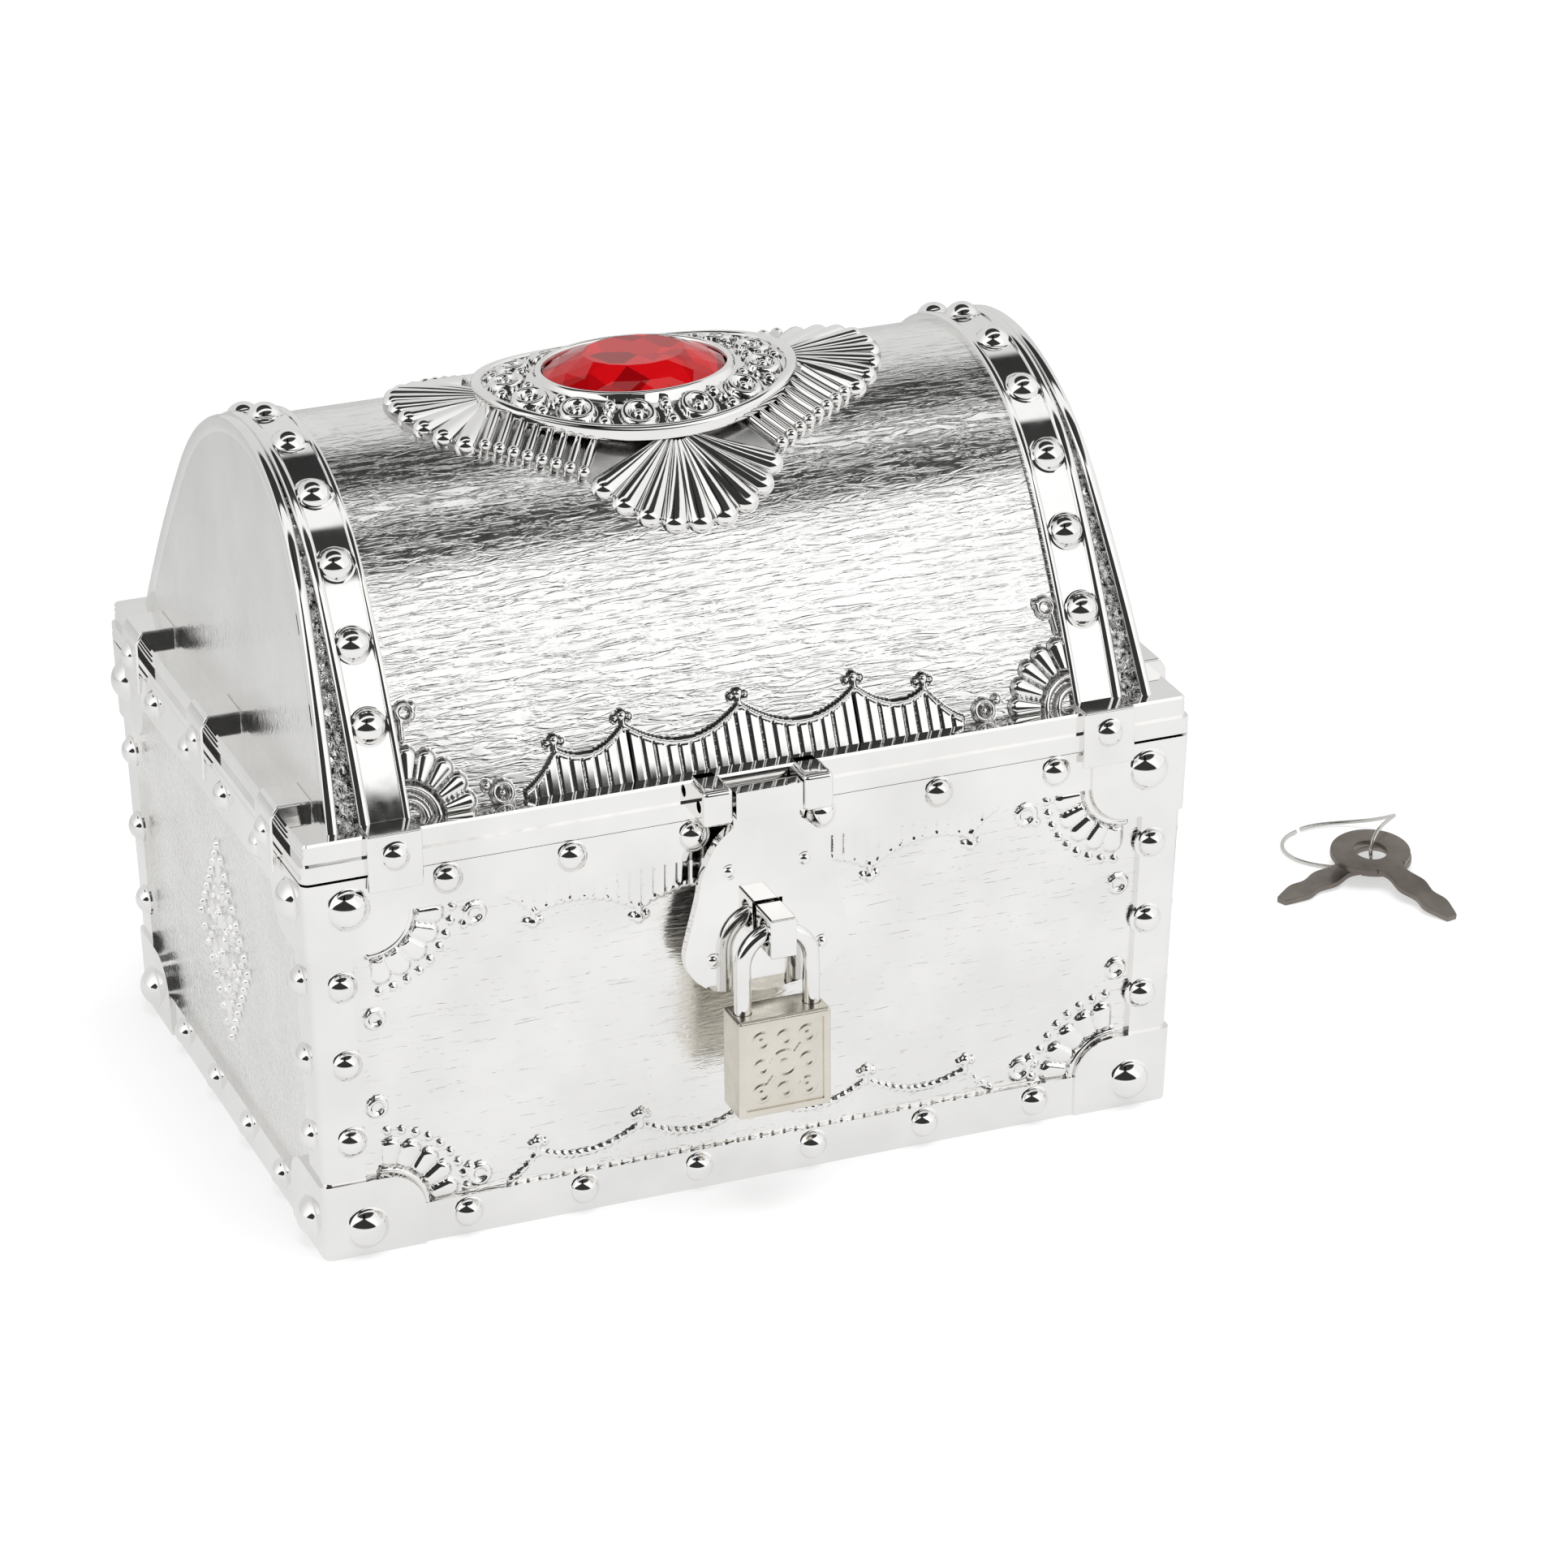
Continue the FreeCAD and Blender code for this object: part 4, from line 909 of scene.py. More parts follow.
def short_panel_relief(across, z):
    """Side panels: a diamond of beads round scrolls."""
    far, rise = np.abs(across), np.abs(z - seam_height / 2)
    heights = [stamped(far, rise, diamond_marks)]
    for size, beads, bead in diamond_rows:
        for step in range(beads):
            share = step / (beads - 1)
            spot = (diamond_half[0] * size * (1 - share), diamond_half[1] * size * share)
            heights.append(dome(far, rise, *spot, bead, bead))
    return pile(*heights)


def base_panels():
    low, high = band_width - panel_tuck, seam_height - band_width + panel_tuck
    for side, normal in base_normals.items():
        half = base_half(high, band_inset + band_width)[abs(normal[0])] + panel_tuck
        relief = short_panel_relief if normal[0] else long_panel_relief
        across = np.linspace(-half, half, int(2 * half / panel_step))
        along = np.linspace(low, high, int((high - low) / panel_row_step))
        panel = Shape().slab(base_side(side), across, along, relief, panel_backing + panel_overlap,
                             panel_steep_slope)
        # Steep relief faces take the mid-grey look as painted shade, and raised faces a polished one.
        finish_piece(panel.object("base_panel_" + side), grained, "base", sharp=75,
                     marked=((painted_shade_pale, panel.painted_shade_faces), (polished, panel.raised)))


# Lid

lid_fringe = ((0.0, 9.4), (19.5, 9.0), (31.1, 6.9), (37.0, 1.2)), (4.0, 2.4, 0.8)
fringe_margin = 1.0
lid_shell = (56.4, 6.2, 11.6)
lid_foot_marks = ((hoop, 40.6, 1.9, 1.5, 1.0, 0.7), (dome, 40.6, 1.9, 0.7, 0.7), (dome, 43.0, 3.4, 0.8, 0.7),
                  (hoop, 54.0, 16.6, 1.3, 0.9, 0.7), (dome, 52.6, 17.4, 0.7, 0.7),
                  (stroke, (55.2, 12.4), (54.9, 15.6), 0.9, 0.7))
foot_zone = 19.5
foot_step = 0.16
foot_row_step = 0.25
lid_steep_slope = 0.8


def lid_foot_relief(x, length):
    climb = arch_length - np.abs(length)
    far = np.abs(x)
    return pile(fringe(x, climb, *lid_fringe), fan(far, climb, *lid_shell),
                stamped(far, climb, lid_foot_marks))


def lid_panels():
    half = band_inner + panel_lap
    inner_length = arch_length - foot_zone
    plain = Shape().slab(lid_surface, np.linspace(-half, half, 60),
                         np.linspace(-inner_length, inner_length, 150),
                         lambda x, length: np.zeros_like(x), wall)
    finish_piece(plain.object("lid_panel"), grained, replaced=["lid_shell"], sharp=75)
    across = np.linspace(-half, half, int(2 * half / foot_step))
    for side, name in ((-1, "front"), (1, "back")):
        along = side * np.linspace(inner_length, arch_length + foot_sink, int(foot_zone / foot_row_step))
        foot = Shape().slab(lid_surface, across, along, lid_foot_relief, wall, lid_steep_slope)
        # Steep faces of the foot's relief take painted shade: near black among the fringe's ribs, mid-grey
        # elsewhere.
        painted_shade_faces = np.array(foot.painted_shade_faces)
        ribbed = np.abs(across[painted_shade_faces % (len(across) - 1)]) < lid_fringe[0][-1][0] + fringe_margin
        finish_piece(foot.object("lid_foot_" + name), grained, sharp=75,
                     marked=((recess, painted_shade_faces[ribbed].tolist()), (painted_shade_pale, painted_shade_faces[~ribbed].tolist()),
                             (polished, foot.raised)))


def bead(start, end, low, rise, lean):
    """Half-round bead between two places across a band."""
    return [(start + (end - start) * (1 - math.cos(turn)) / 2, low + rise * math.sin(turn), lean)
            for turn in np.linspace(0, math.pi, 7)]


def lid_band_rings(profile, sign, steps=180):
    """Profile of (place, height, share of the end's lean) carried over the arch."""
    place, height, share = np.array(profile).T
    lengths = np.linspace(-arch_length - foot_sink, arch_length + foot_sink, steps)
    y, z = arch(lengths[:, None], height)
    return np.stack([sign * (place - share * lid_lean * (z - ledge_height)), y, z], -1)


def lid_bands():
    back = -panel_drop - wall
    inner, outer, end = band_inner - band_flange, band_outer + band_flange, lid_end - end_bead[0]
    band = [(inner, back, 0), (inner, band_shoulders[0], 0)]
    band += bead(band_inner, band_inner + inner_bead[0], 0.0, inner_bead[1], 0)
    band += bead(band_outer - outer_bead[0], band_outer, 0.0, outer_bead[1], 0)
    band += [(outer, band_shoulders[1], 0), (outer, back, 0)]
    edge = [(end - end_flange, back, 1), (end - end_flange, end_shoulders[0], 1)]
    edge += bead(end - end_bead_sink, lid_end, -end_bead_sink, end_bead[1], 1)
    edge += [(lid_end, end_shoulders[1], 1), (lid_end - end_foot_inset, back, 1)]
    strip = [(band_outer, back, 0), (band_outer, -panel_drop, 0), (end, -panel_drop, 1), (end, back, 1)]
    bands, strips = Shape(), Shape()
    for sign in SIDES:
        bands.tube(lid_band_rings(band, sign))
        bands.tube(lid_band_rings(edge, sign))
        strips.tube(lid_band_rings(strip, sign))
    finish_piece(bands.object("lid_bands"), polished, sharp=60)
    # The groove strips take the near-black tint: painted dark reflection.
    finish_piece(strips.object("lid_grooves"), groove_painted_reflection, sharp=60)


def lid_ends():
    walls = Shape()
    profile = [(lid_end - inset, -end_wall_drop, 1) for inset in (end_wall_inset, wall)]
    for sign in SIDES:
        walls.tube(np.swapaxes(lid_band_rings(profile, sign, 90), 0, 1))
    finish_piece(walls.object("lid_ends"), satin)


def lid_rim():
    half_x, half_y = rim_width / 2, rim_depth / 2
    under, inner = ledge_height - wall, rim_step + wall

    def lines(inset, heights):
        return [(inset + cut, inset, z + shift) for z in heights
                for cut, shift in ((0.0, -rim_line), (rim_line, 0.0), (0.0, rim_line))]

    profile = [(rim_chamfer, rim_chamfer, lid_foot), (0.0, 0.0, lid_foot + rim_chamfer)]
    profile += lines(0.0, rim_line_heights[:1])
    profile += [(0.0, 0.0, rim_step_height), (rim_step, rim_step, rim_step_height)]
    profile += lines(rim_step, rim_line_heights[1:])
    lip = rim_step + ledge_chamfer[0]
    inner_x, inner_y = half_x - lid_end + wall, half_y - arch_foot + wall
    profile += [(rim_step, rim_step, ledge_height - ledge_chamfer[1]), (lip, lip, ledge_height),
                (inner_x, inner_y, ledge_height), (inner_x, inner_y, under),
                (inner, inner, under), (inner, inner, lid_foot)]
    rings = []
    for inset_x, inset_y, z in profile:
        radius = max(corner_radius - inset_x, least_corner)
        outline = rounded_rectangle(half_x - inset_x, half_y - inset_y, radius)
        rings.append([(x, y, z) for x, y in outline])
    finish_piece(Shape().tube(rings, closed=True).object("lid_rim"), polished, sharp=35)


def lid_straps():
    plates, rivets = Shape(), Shape()
    out_x, out_y = rim_width / 2 + strap_proud, rim_depth / 2 + strap_proud
    foot = lid_foot - strap_drop
    half, top = front_strap_width / 2, ledge_height + front_strap_rise
    inner, tucked = strap_thickness - out_y, arch_foot - strap_tuck
    outline = [(-out_y, foot), (-out_y, top), (-tucked, top), (-tucked, lid_foot),
               (inner, lid_foot), (inner, foot)]
    for end in SIDES:
        x = end * front_strap_place
        plates.along_x(outline, (x - half, x + half))
        plates.block((x - half, tucked, lid_foot), (x + half, out_y, top))
        rivets.stud((x, -out_y, rivet_height), (0, -1, 0), rivet_size)
    half, top = side_strap_width / 2, ledge_height + side_strap_rise
    inner, tucked = out_x - strap_thickness, lid_end - strap_tuck
    outline = [(out_x, foot), (out_x, ledge_height), (out_x - side_strap_bevel, top), (tucked, top),
               (tucked, lid_foot), (inner, lid_foot), (inner, foot)]
    for place in side_strap_places:
        for sign in SIDES:
            plates.along_y([(sign * x, z) for x, z in outline], (place - half, place + half))
            rivets.stud((sign * out_x, place, rivet_height), (sign, 0, 0), rivet_size)
    straps = plates.object("lid_straps")
    soften(straps, strap_round)
    finish_piece(straps, polished)
    finish_piece(rivets.object("lid_rivets"), polished)


def lid_studs():
    studs = Shape()
    middle = (band_inner + band_outer) / 2
    for step in range(lid_stud_pairs):
        for sign in SIDES:
            length = np.array(sign * lid_stud_pitch * (step + 0.5))
            (y, z), (outer_y, outer_z) = arch(length, 0.0), arch(length, 1.0)
            for end in SIDES:
                studs.stud((end * middle, float(y), float(z)), (0, float(outer_y - y), float(outer_z - z)),
                           lid_stud_size)
    finish_piece(studs.object("lid_studs"), polished)


def lid_fittings():
    """Lugs for the hasp at the front, and hinge knuckles at the back."""
    lugs, knuckles = Shape(), Shape()
    near = hasp_neck_half + ear_gap
    for sign in SIDES:
        low, high = sorted((sign * near, sign * (near + lug_width)))
        lugs.block((low, -rim_depth / 2 - lug_out, lug_foot), (high, -arch_foot, ledge_height))
        place = sign * hinge_place
        hinge_part(knuckles, knuckle_outline, (place - knuckle_width / 2, place + knuckle_width / 2))
    made = lugs.object("hasp_lugs")
    soften(made, lug_round, 4)
    finish_piece(made, polished)
    finish_piece(knuckles.object("lid_knuckles"), polished)


# Medallion

def plan_circle(steps):
    turn = np.linspace(0, 2 * np.pi, steps, endpoint=False)
    return turn, np.stack([np.cos(turn), np.sin(turn)], -1)


def ornament_edge(turn):
    """Reach of the ornament's outline at an angle, as the CAD outline has it."""
    direction = np.stack([np.abs(np.cos(turn)), np.abs(np.sin(turn))], -1)
    reach = np.full(turn.shape, np.inf)
    for index, (tip, root, half) in enumerate((ornament_side, ornament_front)):
        rise = tip - root
        radius = (half * half + rise * rise) / (2 * rise)
        centre = tip - radius
        along, across = direction[..., index], direction[..., 1 - index]
        on_arc = centre * along + np.sqrt(np.clip(radius ** 2 - (centre * across) ** 2, 0, None))
        inside = np.abs(on_arc * across) <= half + 1e-6
        reach = np.where(inside & (on_arc * along >= root - 1e-6), np.minimum(reach, on_arc), reach)
    start = np.array((ornament_side[1], ornament_side[2]))
    end = np.array((ornament_front[2], ornament_front[1]))
    normal = np.array((start[1] - end[1], end[0] - start[0]))
    on_line = (normal @ start) / np.minimum(direction @ normal, -1e-6)
    return np.where(np.isinf(reach), on_line, reach)


def arch_run(y):
    """Arc length from the crest to a place on the crown's panel."""
    return crown_radius * math.asin(y / (crown_radius - panel_drop))


def ridge(shape, start, heading, inner, outer, half, taper, swell):
    """Rounded ridge over the arch, from inner to outer along its heading. Places are (x, arc length)."""
    ahead = np.array((math.cos(heading), math.sin(heading)))
    aside = np.array((-ahead[1], ahead[0]))
    reaches = np.concatenate([np.linspace(inner, outer - half, 10),
                              outer - half + half * np.sin(np.linspace(0.2, 1.5, 8))])
    turns = np.linspace(0, math.pi, 11)
    rings = []
    for reach in reaches:
        past = max(reach - (outer - half), 0) / half
        tip = math.sqrt(1 - past * past)
        wide = half * min(reach / (outer - half), 1.0) ** taper * tip
        share = (reach - inner) / (outer - inner)
        high = (petal_rise * (ridge_foot + (1 - ridge_foot) * share) + swell * (1 - share) ** 2) * tip
        across = [wide * math.cos(turn) for turn in turns] + [-wide, wide]
        height = [high * math.sin(turn) for turn in turns] + [-foot_sink / 2] * 2
        spots = np.array(start) + ahead * reach + np.outer(across, aside)
        y, z = arch(spots[:, 1], np.array(height) - panel_drop)
        rings.append(np.stack([spots[:, 0], y, z], -1))
    shape.tube(rings)


def crown_fans():
    """Four shells of petals that open from under the medallion, with ribs along the edges between them."""
    corner_side = np.array((ornament_side[1], arch_run(ornament_side[2])))
    corner_front = np.array((ornament_front[2], arch_run(ornament_front[1])))
    hub = arch_run(front_hub)
    fans = ((0.0, (side_hub, 0.0), math.atan2(corner_side[1], corner_side[0] - side_hub),
             ornament_side[0] - side_hub - ornament_margin, 0.0),
            (math.pi / 2, (0.0, hub), math.atan2(corner_front[0], corner_front[1] - hub),
             arch_run(ornament_front[0]) - hub + front_petal_reach, front_petal_swell))
    petals = Shape()
    for turn, start, spread, outer, swell in fans:
        pitch = 2 * spread / petals_per_fan
        half = outer * math.tan(pitch / 2) * petal_share
        for step in range(petals_per_fan):
            heading = turn + (step + 0.5) * pitch - spread
            for sign in SIDES:
                ridge(petals, (start[0] * sign, start[1] * sign), heading if sign > 0 else heading + math.pi,
                      petal_inner, outer, half, petal_taper, swell)
    run = corner_front - corner_side
    outward = np.array((run[1], -run[0])) / np.hypot(*run)
    ball = [(edge_bead_radius * math.sin(turn), -edge_bead_radius * math.cos(turn))
            for turn in np.linspace(0.05, 3.09, 14)]
    for step in range(ribs_per_edge):
        spot = corner_side + run * (step + 0.5) / ribs_per_edge - outward * edge_rib_length
        for signs in CORNERS:
            heading = math.atan2(outward[1] * signs[1], outward[0] * signs[0])
            ridge(petals, spot * signs, heading, 0.0, edge_rib_length, edge_rib_half, 0.0, edge_rib_swell)
            end = (spot + outward * (edge_rib_length - edge_bead_radius)) * signs
            low_y, low_z = arch(end[1], petal_rise / 2 - panel_drop)
            petals.turned((end[0], float(low_y), float(low_z)), (0, 0, 1), ball, 20)
    finish_piece(petals.object("crown_fans"), polished, "lid", ["crown_ornament"], sharp=80)


def crown_sheet():
    """Thin plate under the shells, in mid-grey metal: painted shade between the petals."""
    turn, plan = plan_circle(480)
    reach = ornament_edge(turn) - ornament_margin
    rows = [(share, ornament_sheet) for share in np.linspace(sheet_inner, 1.0, 16)]
    rings = []
    for share, lift in rows + [(1.0, -sheet_sink), (sheet_inner, -sheet_sink)]:
        spot = plan * (reach * share)[:, None]
        rings.append(np.column_stack([spot, arch_height(spot[:, 1], -panel_drop) + lift]))
    finish_piece(Shape().tube(rings, closed=True).object("crown_sheet"), painted_shade_pale, "lid")


def bezel_relief(x, y):
    """Scrolls and buds in the ring between the stone and the rim."""
    def spot(ring, turn):
        return bezel_half[0] * ring * math.cos(turn), bezel_half[1] * ring * math.sin(turn)

    heights = []
    for step in range(bezel_scrolls):
        turn = 2 * math.pi * (step + 0.25) / bezel_scrolls
        middle = spot(scroll_ring, turn)
        heights.append(hoop(x, y, *middle, *scroll_hoop, bezel_floor))
        heights.append(dome(x, y, *middle, scroll_eye, bezel_floor))
        turn += math.pi / bezel_scrolls
        heights += [dome(x, y, *spot(ring, turn), size, bezel_floor) for ring, size in bezel_buds]
    return pile(*heights)


def gem_bezel():
    columns = 720
    plan = plan_circle(columns)[1]
    half, lip = np.array(bezel_half), np.array(lip_half)
    stone_edge = np.array(gem_half) + gem_gap

    def bent(spot, lift):
        z = bezel_crest - (bezel_bend - np.sqrt(bezel_bend ** 2 - spot[:, 1] ** 2)) + lift
        return np.column_stack([spot, z])

    def level(size, z):
        return np.column_stack([plan * size, np.full(columns, z)])

    rings = [level(stone_edge, gem_foot), level(stone_edge, lip_top - lip_chamfer[1]),
             level(stone_edge + lip_chamfer[0], lip_top), level(lip - lip_round[0], lip_top),
             level(lip - lip_round[1], lip_top - lip_round[2])]
    made = Shape()
    for share in np.linspace(0.0, 1.0, 34):
        spot = plan * (lip + (half * bezel_field - lip) * share)
        relief = bezel_relief(spot[:, 0], spot[:, 1])
        # A thin band round the foot of each scroll and bud takes near-black metal: painted shade outlines.
        painted_shade_outline = (relief > bezel_floor / 20) & (relief < bezel_floor / 2)
        made.painted_shade_faces += (np.nonzero(painted_shade_outline)[0] + len(rings) * columns).tolist()
        rings.append(bent(spot, relief - bezel_floor + bezel_swell * (1 - share)))
    for bow in np.linspace(0.15, math.pi - 0.35, 10):
        spot = plan * (half * (bezel_bead[0] - bezel_bead[1] * math.cos(bow)))
        rings.append(bent(spot, bezel_bead_rise * math.sin(bow) - bezel_bead_sink))
    for share in bezel_foot:
        spot = plan * (half * share)
        rings.append(bent(spot, -bezel_plate))
    foot = np.minimum(arch_height(spot[:, 1], bezel_foot_gap[0]), rings[-1][:, 2] - bezel_foot_gap[1])
    rings += [np.column_stack([spot, foot]), level(stone_edge, gem_foot - gem_gap)]
    finish_piece(made.tube(rings, closed=True).object("medallion"), polished, "lid",
                 ["gem_bezel"], sharp=80, marked=((recess, made.painted_shade_faces),))


def gem():
    def ring(scale, z, shift=0.0):
        turns = 2 * np.pi * (np.arange(gem_sides) + shift) / gem_sides
        return np.column_stack([gem_half[0] * scale * np.cos(turns), gem_half[1] * scale * np.sin(turns),
                                np.full(gem_sides, z)])

    rows = [ring(0.94, gem_foot), ring(1.0, gem_girdle - 0.3), ring(1.0, gem_girdle),
            ring(0.83, (gem_girdle + gem_table) / 2, 0.5), ring(0.56, gem_table)]
    girdle, crown, table = (row * gem_sides for row in (2, 3, 4))
    around = [(i, (i + 1) % gem_sides, (i - 1) % gem_sides) for i in range(gem_sides)]
    faces = [list(range(gem_sides))] + quads(3, gem_sides, False, True)
    for i, after, before in around:
        faces.append([girdle + i, girdle + after, crown + i])
        faces.append([girdle + i, crown + i, crown + before])
    for i, after, before in around:
        faces.append([crown + i, table + after, table + i])
        faces.append([crown + i, crown + after, table + after])
    faces.append([table + i for i in range(gem_sides)])
    made = Shape().add(np.concatenate(rows), faces).object("gem_stone")
    finish_piece(made, stone, "lid", ["gem"], flat=True)


# Hasp and padlock

def hasp():
    right = smooth_line(hasp_outline)
    left = right[::-1][1:] * (-1, 1)
    half, radius = hasp_neck_half, hasp_barrel_radius
    outline = [(half, hasp_z)] + right.tolist() + left.tolist() + [(-half, hasp_z)]
    front, back = hasp_y - hasp_half_thickness, hasp_y + hasp_half_thickness
    plate = Shape().along_y(outline, (front, back)).object("hasp_bell")
    low, high = box_mm("hasp_staple")
    centre = (low.z + high.z) / 2
    half_x, half_z = staple_half[0] + slot_gap, staple_half[1] + slot_gap
    slot = Shape().block((-half_x, front - overrun, centre - half_z),
                         (half_x, back + overrun, centre + half_z))
    barrel = Shape().rod((-half, hasp_y, hasp_z), (half, hasp_y, hasp_z), radius, 48)
    neck = Shape().block((-half, hasp_y - radius, hasp_z - radius), (half, hasp_y, hasp_z + radius))
    combine(plate, [barrel.object("barrel"), neck.object("neck")], "UNION")
    combine(plate, [slot.object("slot")], "DIFFERENCE")
    soften(plate, edge_round)
    finish_piece(plate, polished, "hasp", ["hasp_plate"])
    bosses = Shape()
    for x, z in boss_places:
        for sign in SIDES:
            bosses.stud((sign * x, front, z), (0, -1, 0), boss_size)
    finish_piece(bosses.object("hasp_bosses"), polished, "hasp")


def staple():
    low, high = box_mm("hasp_staple")
    shackle_low, shackle_high = box_mm("padlock_shackle")
    back = hasp_y + hasp_half_thickness
    middle, hole_y = (low.z + high.z) / 2, (shackle_low.y + shackle_high.y) / 2
    tab = Shape().block((-staple_half[0], low.y, middle - staple_half[1]),
                        (staple_half[0], back + staple_tuck, middle + staple_half[1])).object("staple_tab")
    flange = Shape().block((low.x, back, low.z), (high.x, high.y, high.z))
    hole = Shape().rod((-staple_hole_reach, hole_y, middle), (staple_hole_reach, hole_y, middle),
                       staple_hole_radius, 40)
    combine(tab, [flange.object("flange")], "UNION")
    combine(tab, [hole.object("hole")], "DIFFERENCE")
    soften(tab, edge_round)
    finish_piece(tab, polished, "hasp", ["hasp_staple"])


padlock_marks = ((hoop, 3.9, 4.6, 1.3, 0.8), (dome, 3.9, 4.6, 0.6), (hoop, 0.0, 0.0, 2.2, 0.8),
                 (dome, 0.0, 0.0, 1.0), (hoop, 0.0, 4.6, 1.1, 0.7), (hoop, 3.9, 0.0, 1.1, 0.7),
                 (stroke, (1.9, 1.9), (2.9, 3.2), 0.8))


def padlock_relief(across, up):
    """Generic scrolls in the recessed front, clear of its border."""
    return stamped(np.abs(across), np.abs(up), [(*mark, engraving_rise) for mark in padlock_marks])


def padlock():
    low, high = box_mm("padlock_body")
    shackle_low, shackle_high = box_mm("padlock_shackle")
    plug_low, plug_high = box_mm("padlock_keyway_plug")
    latch_low, latch_high = box_mm("padlock_latch")
    middle_y, middle_z = (low.y + high.y) / 2, (low.z + high.z) / 2
    case = Shape().block(low, high).object("padlock_case")
    soften(case, padlock_round, 4)
    inset = padlock_border
    sunk, bores = Shape(), Shape()
    for y, far in ((low.y - overrun, low.y + padlock_recess), (high.y - padlock_recess, high.y + overrun)):
        sunk.block((low.x + inset, y, low.z + inset), (high.x - inset, far, high.z - inset))
    leg_bore = (shackle_high.y - shackle_low.y) / 2 + leg_bore_gap
    for leg, foot in ((-shackle_leg, long_bore_floor), (shackle_leg, short_bore_floor)):
        bores.rod((leg, middle_y, low.z + foot), (leg, middle_y, high.z + overrun), leg_bore)
    bores.rod((0, middle_y, low.z - overrun), (0, middle_y, plug_high.z + plug_headroom),
              (plug_high.x - plug_low.x) / 2 + plug_gap)
    bores.block((-latch_high.x - latch_end_gap, latch_low.y - latch_gap, plug_high.z + latch_slot_floor),
                (latch_high.x + latch_end_gap, latch_high.y + latch_gap, latch_high.z + latch_gap))
    combine(case, [sunk.object("recess"), bores.object("bores")], "DIFFERENCE")
    finish_piece(case, nickel, "padlock", ["padlock_body"], sharp=35)

    def front(across, up, outward):
        return np.stack([across, low.y + padlock_recess - engraving_lift - outward, middle_z + up], -1)

    half_x, half_z = (high.x - low.x) / 2 - inset, (high.z - low.z) / 2 - inset
    engraved = Shape().slab(front, np.linspace(-half_x, half_x, 90), np.linspace(-half_z, half_z, 100),
                            padlock_relief, engraving_back)
    finish_piece(engraved.object("padlock_engraving"), nickel, "padlock", sharp=80)


# Keys

def keys():
    blade = smooth_line(key_blade, 5)
    turns = np.linspace(key_neck_turn, 2 * math.pi - key_neck_turn, 60)
    head = [(key_head[0] * math.cos(turn), key_head[1] * math.sin(turn)) for turn in turns]
    outline = head + (blade * (1, -1)).tolist() + blade[::-1].tolist()
    for (name, (x, y, lift, heading)), body in zip(key_spots.items(), ("first_key", "second_key")):
        blank = Shape().along_z(outline, (0.0, key_thickness)).object(name + "_flat")
        hole = Shape().rod((0, 0, -overrun), (0, 0, key_thickness + 2 * overrun), key_hole_radius, 48)
        combine(blank, [hole.object("hole")], "DIFFERENCE")
        soften(blank, key_round, 2)
        tilt = Matrix.Rotation(math.asin(lift / key_blade[-1][0]), 4, "Y")
        turn = Matrix.Rotation(math.radians(heading), 4, "Z")
        blank.data.transform(Matrix.Translation(Vector((x, y, lift)) * MM) @ turn @ tilt)
        finish_piece(blank, key_steel, body, [name], sharp=40)


def carried_nodes():
    """CAD nodes that show as they are, with their own looks."""
    looks = {"hinge_pin_left": pin_steel, "hinge_pin_right": pin_steel, "hasp_hinge_pin": pin_steel,
             "padlock_shackle": polished, "padlock_keyway_plug": brass, "padlock_latch": brass,
             "padlock_retaining_pin": pin_steel, "padlock_spring": pin_steel, "key_wire": wire_steel}
    for name, look in looks.items():
        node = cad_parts[name]
        node.data.materials.clear()
        node.data.materials.append(look)


# Stage

def floor():
    mesh = bpy.data.meshes.new("floor")
    corners = ((-1, -1), (1, -1), (1, 1), (-1, 1))
    mesh.from_pydata([(x * floor_half, y * floor_half, 0) for x, y in corners], [], [(0, 1, 2, 3)])
    made = linked("floor", mesh)
    look, tree, shader = new_look("pale_floor")
    tree.feed(shader["Base Color"], tree.tinted(tree.noise(6.0), *floor_colours))
    shader["Roughness"].default_value = 0.9
    shader["Specular IOR Level"].default_value = 0.0
    path = tree.node("LightPath").outputs
    place = tree.node("SeparateXYZ", Vector=tree.node("NewGeometry").outputs["Position"]).outputs
    dimming = tree.ranged(place["Y"], *floor_dimming, *floor_dimming_reach)
    strength = tree.math("SUBTRACT", 1.0, tree.math("MULTIPLY", path["Is Glossy Ray"], dimming))
    seen = tree.math("MULTIPLY", path["Is Camera Ray"], floor_seen_glow)
    share = tree.math("MULTIPLY_ADD", path["Is Glossy Ray"], floor_mirrored_glow, seen)
    surface = tree.mix(share, tree.nodes["Principled BSDF"].outputs["BSDF"],
                       tree.node("Emission", Strength=strength).outputs["Emission"])
    tree.feed(tree.nodes["Material Output"].inputs["Surface"], surface)
    mesh.materials.append(look)


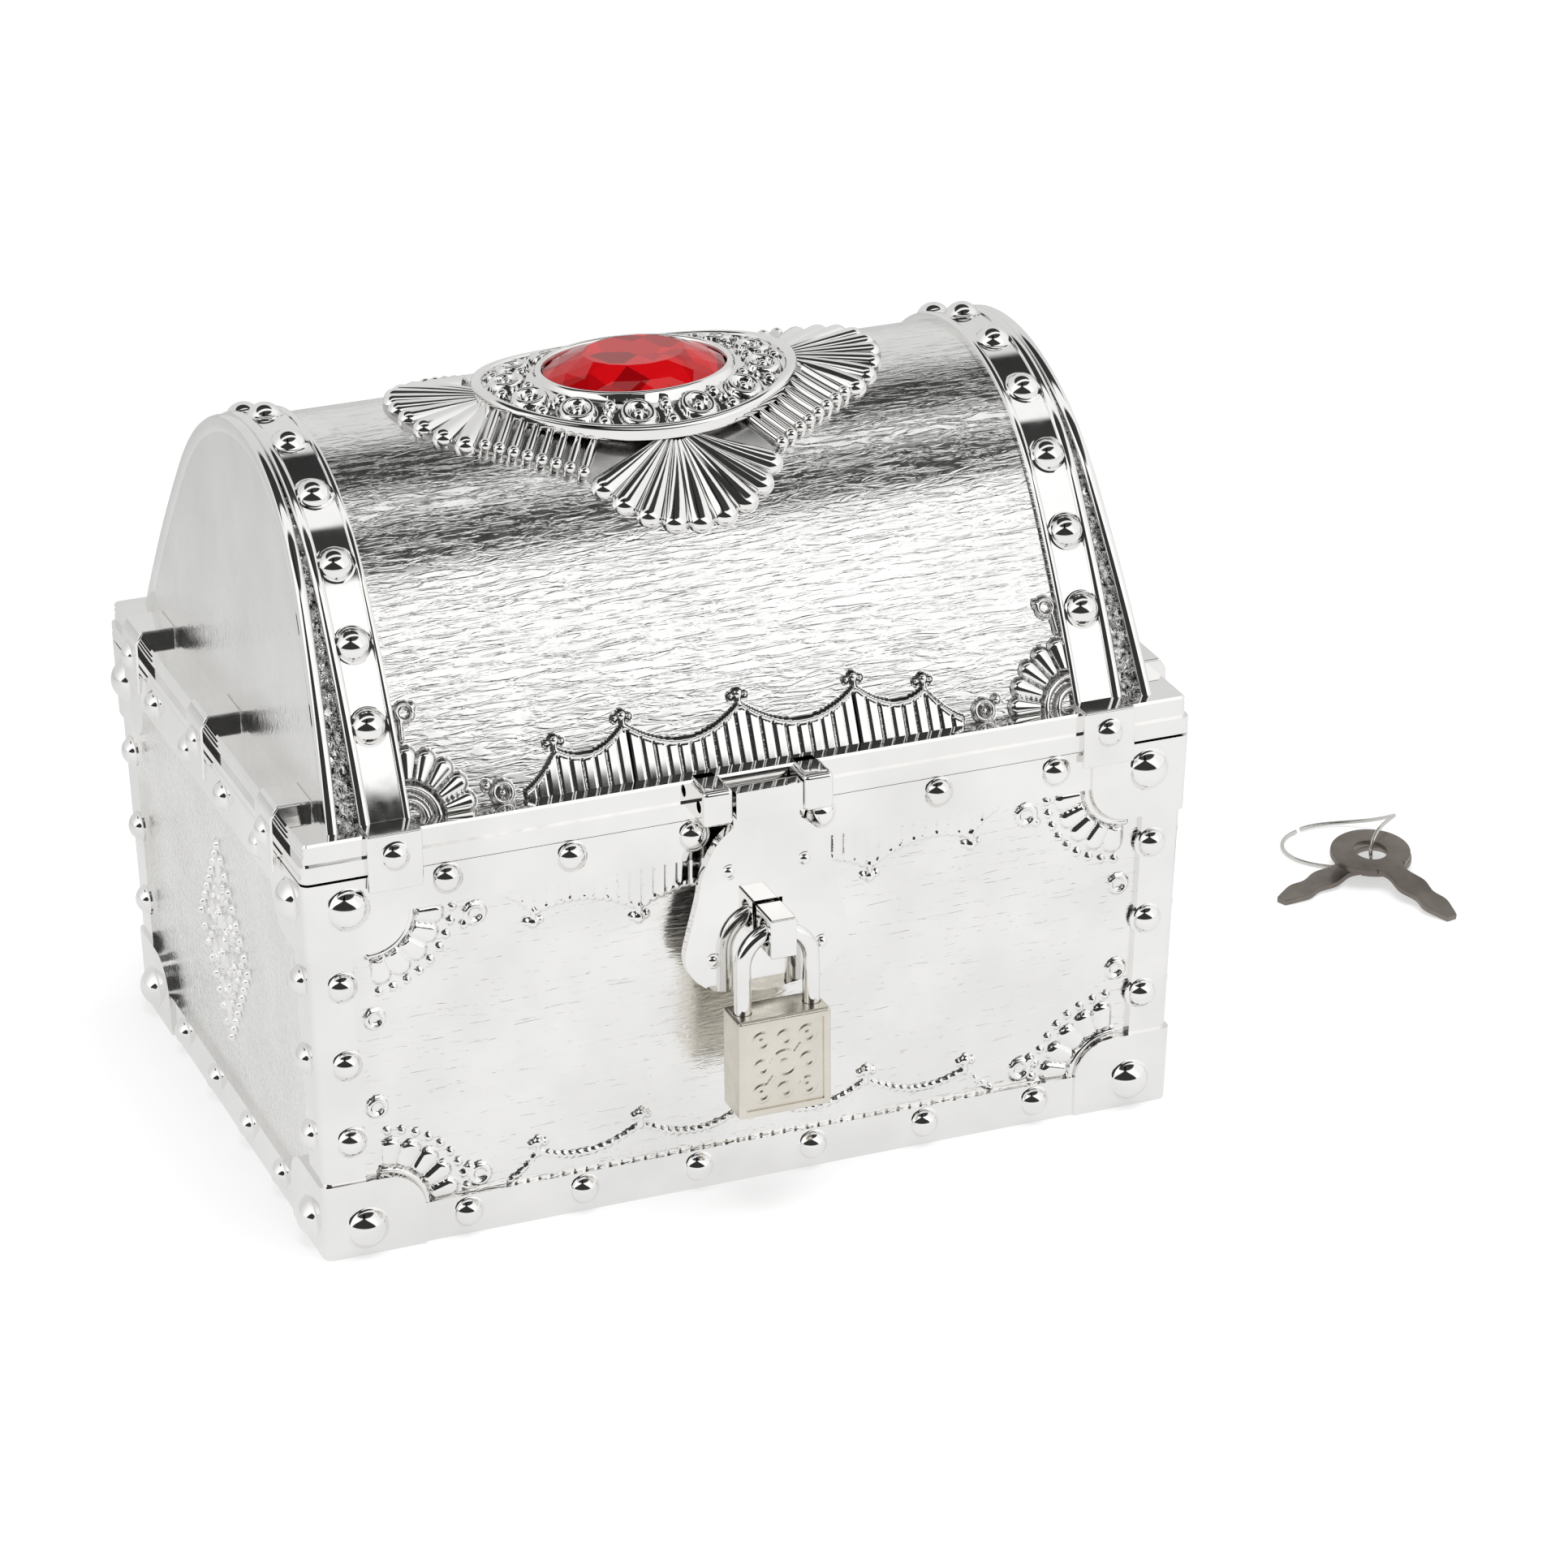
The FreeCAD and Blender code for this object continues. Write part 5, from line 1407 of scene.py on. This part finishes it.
def world_light():
    """White studio: pale walls, a dark ceiling with a lit strip, and a dark standing figure in front."""
    world = bpy.data.worlds.new("studio")
    bpy.context.scene.world = world
    tree = Tree(world)

    def step_up(value, edge):
        node = tree.node("MapRange", Value=value, From_Min=edge[0], From_Max=edge[1])
        node.interpolation_type = "SMOOTHSTEP"
        return node.outputs["Result"]

    def less(value, share=1.0):
        return tree.math("SUBTRACT", 1.0, tree.math("MULTIPLY", value, share))

    def ratio(value, other, least):
        return tree.math("DIVIDE", value, tree.math("MAXIMUM", other, least))

    x, y, z = tree.node("SeparateXYZ", Vector=tree.node("TexCoord").outputs["Generated"]).outputs
    ceiling = step_up(z, ceiling_edge)
    slope = tree.math("ABSOLUTE", tree.math("ADD", ratio(y, z, least_rise), strip_shift))
    strip = tree.math("MULTIPLY", ceiling, less(step_up(slope, strip_edge)))
    turn = math.radians(camera_azimuth)
    forward = tree.math("MULTIPLY_ADD", x, math.sin(turn), tree.math("MULTIPLY", y, -math.cos(turn)))
    lateral = tree.math("MULTIPLY_ADD", x, math.cos(turn), tree.math("MULTIPLY", y, math.sin(turn)))
    spread = tree.math("ABSOLUTE", ratio(lateral, forward, least_forward))
    taper = tree.math("MAXIMUM", less(z, 1 / figure_height), 0.0)
    width = tree.math("MULTIPLY_ADD", taper, figure_foot_width, figure_half_width)
    figure = less(step_up(tree.math("SUBTRACT", spread, width), figure_edge))
    figure = tree.math("MULTIPLY", figure, step_up(forward, figure_front))
    walls = tree.math("MULTIPLY_ADD", step_up(forward, front_wall), front_wall_gain,
                      less(step_up(y, back_wall), back_wall_loss))
    lit = tree.math("MULTIPLY", walls, less(figure, figure_dark))
    lit = tree.math("MULTIPLY_ADD", lit, less(ceiling, ceiling_dark), strip)
    path = tree.node("LightPath").outputs
    plain = tree.nodes["Background"]
    plain.inputs["Color"].default_value = white
    plain.inputs["Strength"].default_value = plain_strength
    mirrored = tree.node("Background", Color=lit)
    seen = tree.math("MAXIMUM", path["Is Camera Ray"], path["Is Transmission Ray"])
    surface = tree.mix(path["Is Glossy Ray"], plain.outputs[0], mirrored.outputs[0])
    surface = tree.mix(seen, surface, tree.node("Background", Color=white).outputs[0])
    tree.feed(tree.nodes["World Output"].inputs["Surface"], surface)


def lighting():
    for name, place, size, power in lamps:
        light = bpy.data.lights.new(name, "AREA")
        light.shape = "RECTANGLE"
        light.size, light.size_y = size
        light.energy = power
        made = linked(name, light)
        made.location = place
        made.rotation_euler = (Vector(lamp_target) - Vector(place)).to_track_quat("-Z", "Y").to_euler()
        made.visible_glossy = False


def camera():
    turn, lift = math.radians(camera_azimuth), math.radians(camera_elevation)
    back = Vector((math.sin(turn) * math.cos(lift), -math.cos(turn) * math.cos(lift), math.sin(lift)))
    data = bpy.data.cameras.new("photo_camera")
    data.sensor_width = sensor_width
    data.lens = camera_lens
    data.clip_start = 0.01
    data.clip_end = 100.0
    made = linked("photo_camera", data)
    made.rotation_mode = "QUATERNION"
    rolled = back.to_track_quat("Z", "Y").to_matrix() @ Matrix.Rotation(math.radians(camera_roll), 3, "Z")
    made.rotation_quaternion = rolled.to_quaternion()
    made.location = (Vector(camera_target) + back * camera_distance) * MM
    bpy.context.scene.camera = made


for build in (base_body, base_panels, base_studs, lid_panels, lid_bands, lid_ends, lid_rim, lid_straps,
              lid_studs, lid_fittings, crown_fans, crown_sheet, gem_bezel, gem, hasp, staple, padlock,
              keys, carried_nodes, floor, world_light, lighting, camera):
    build()
bpy.context.scene.view_settings.view_transform = "Standard"

bpy.context.view_layer.update()
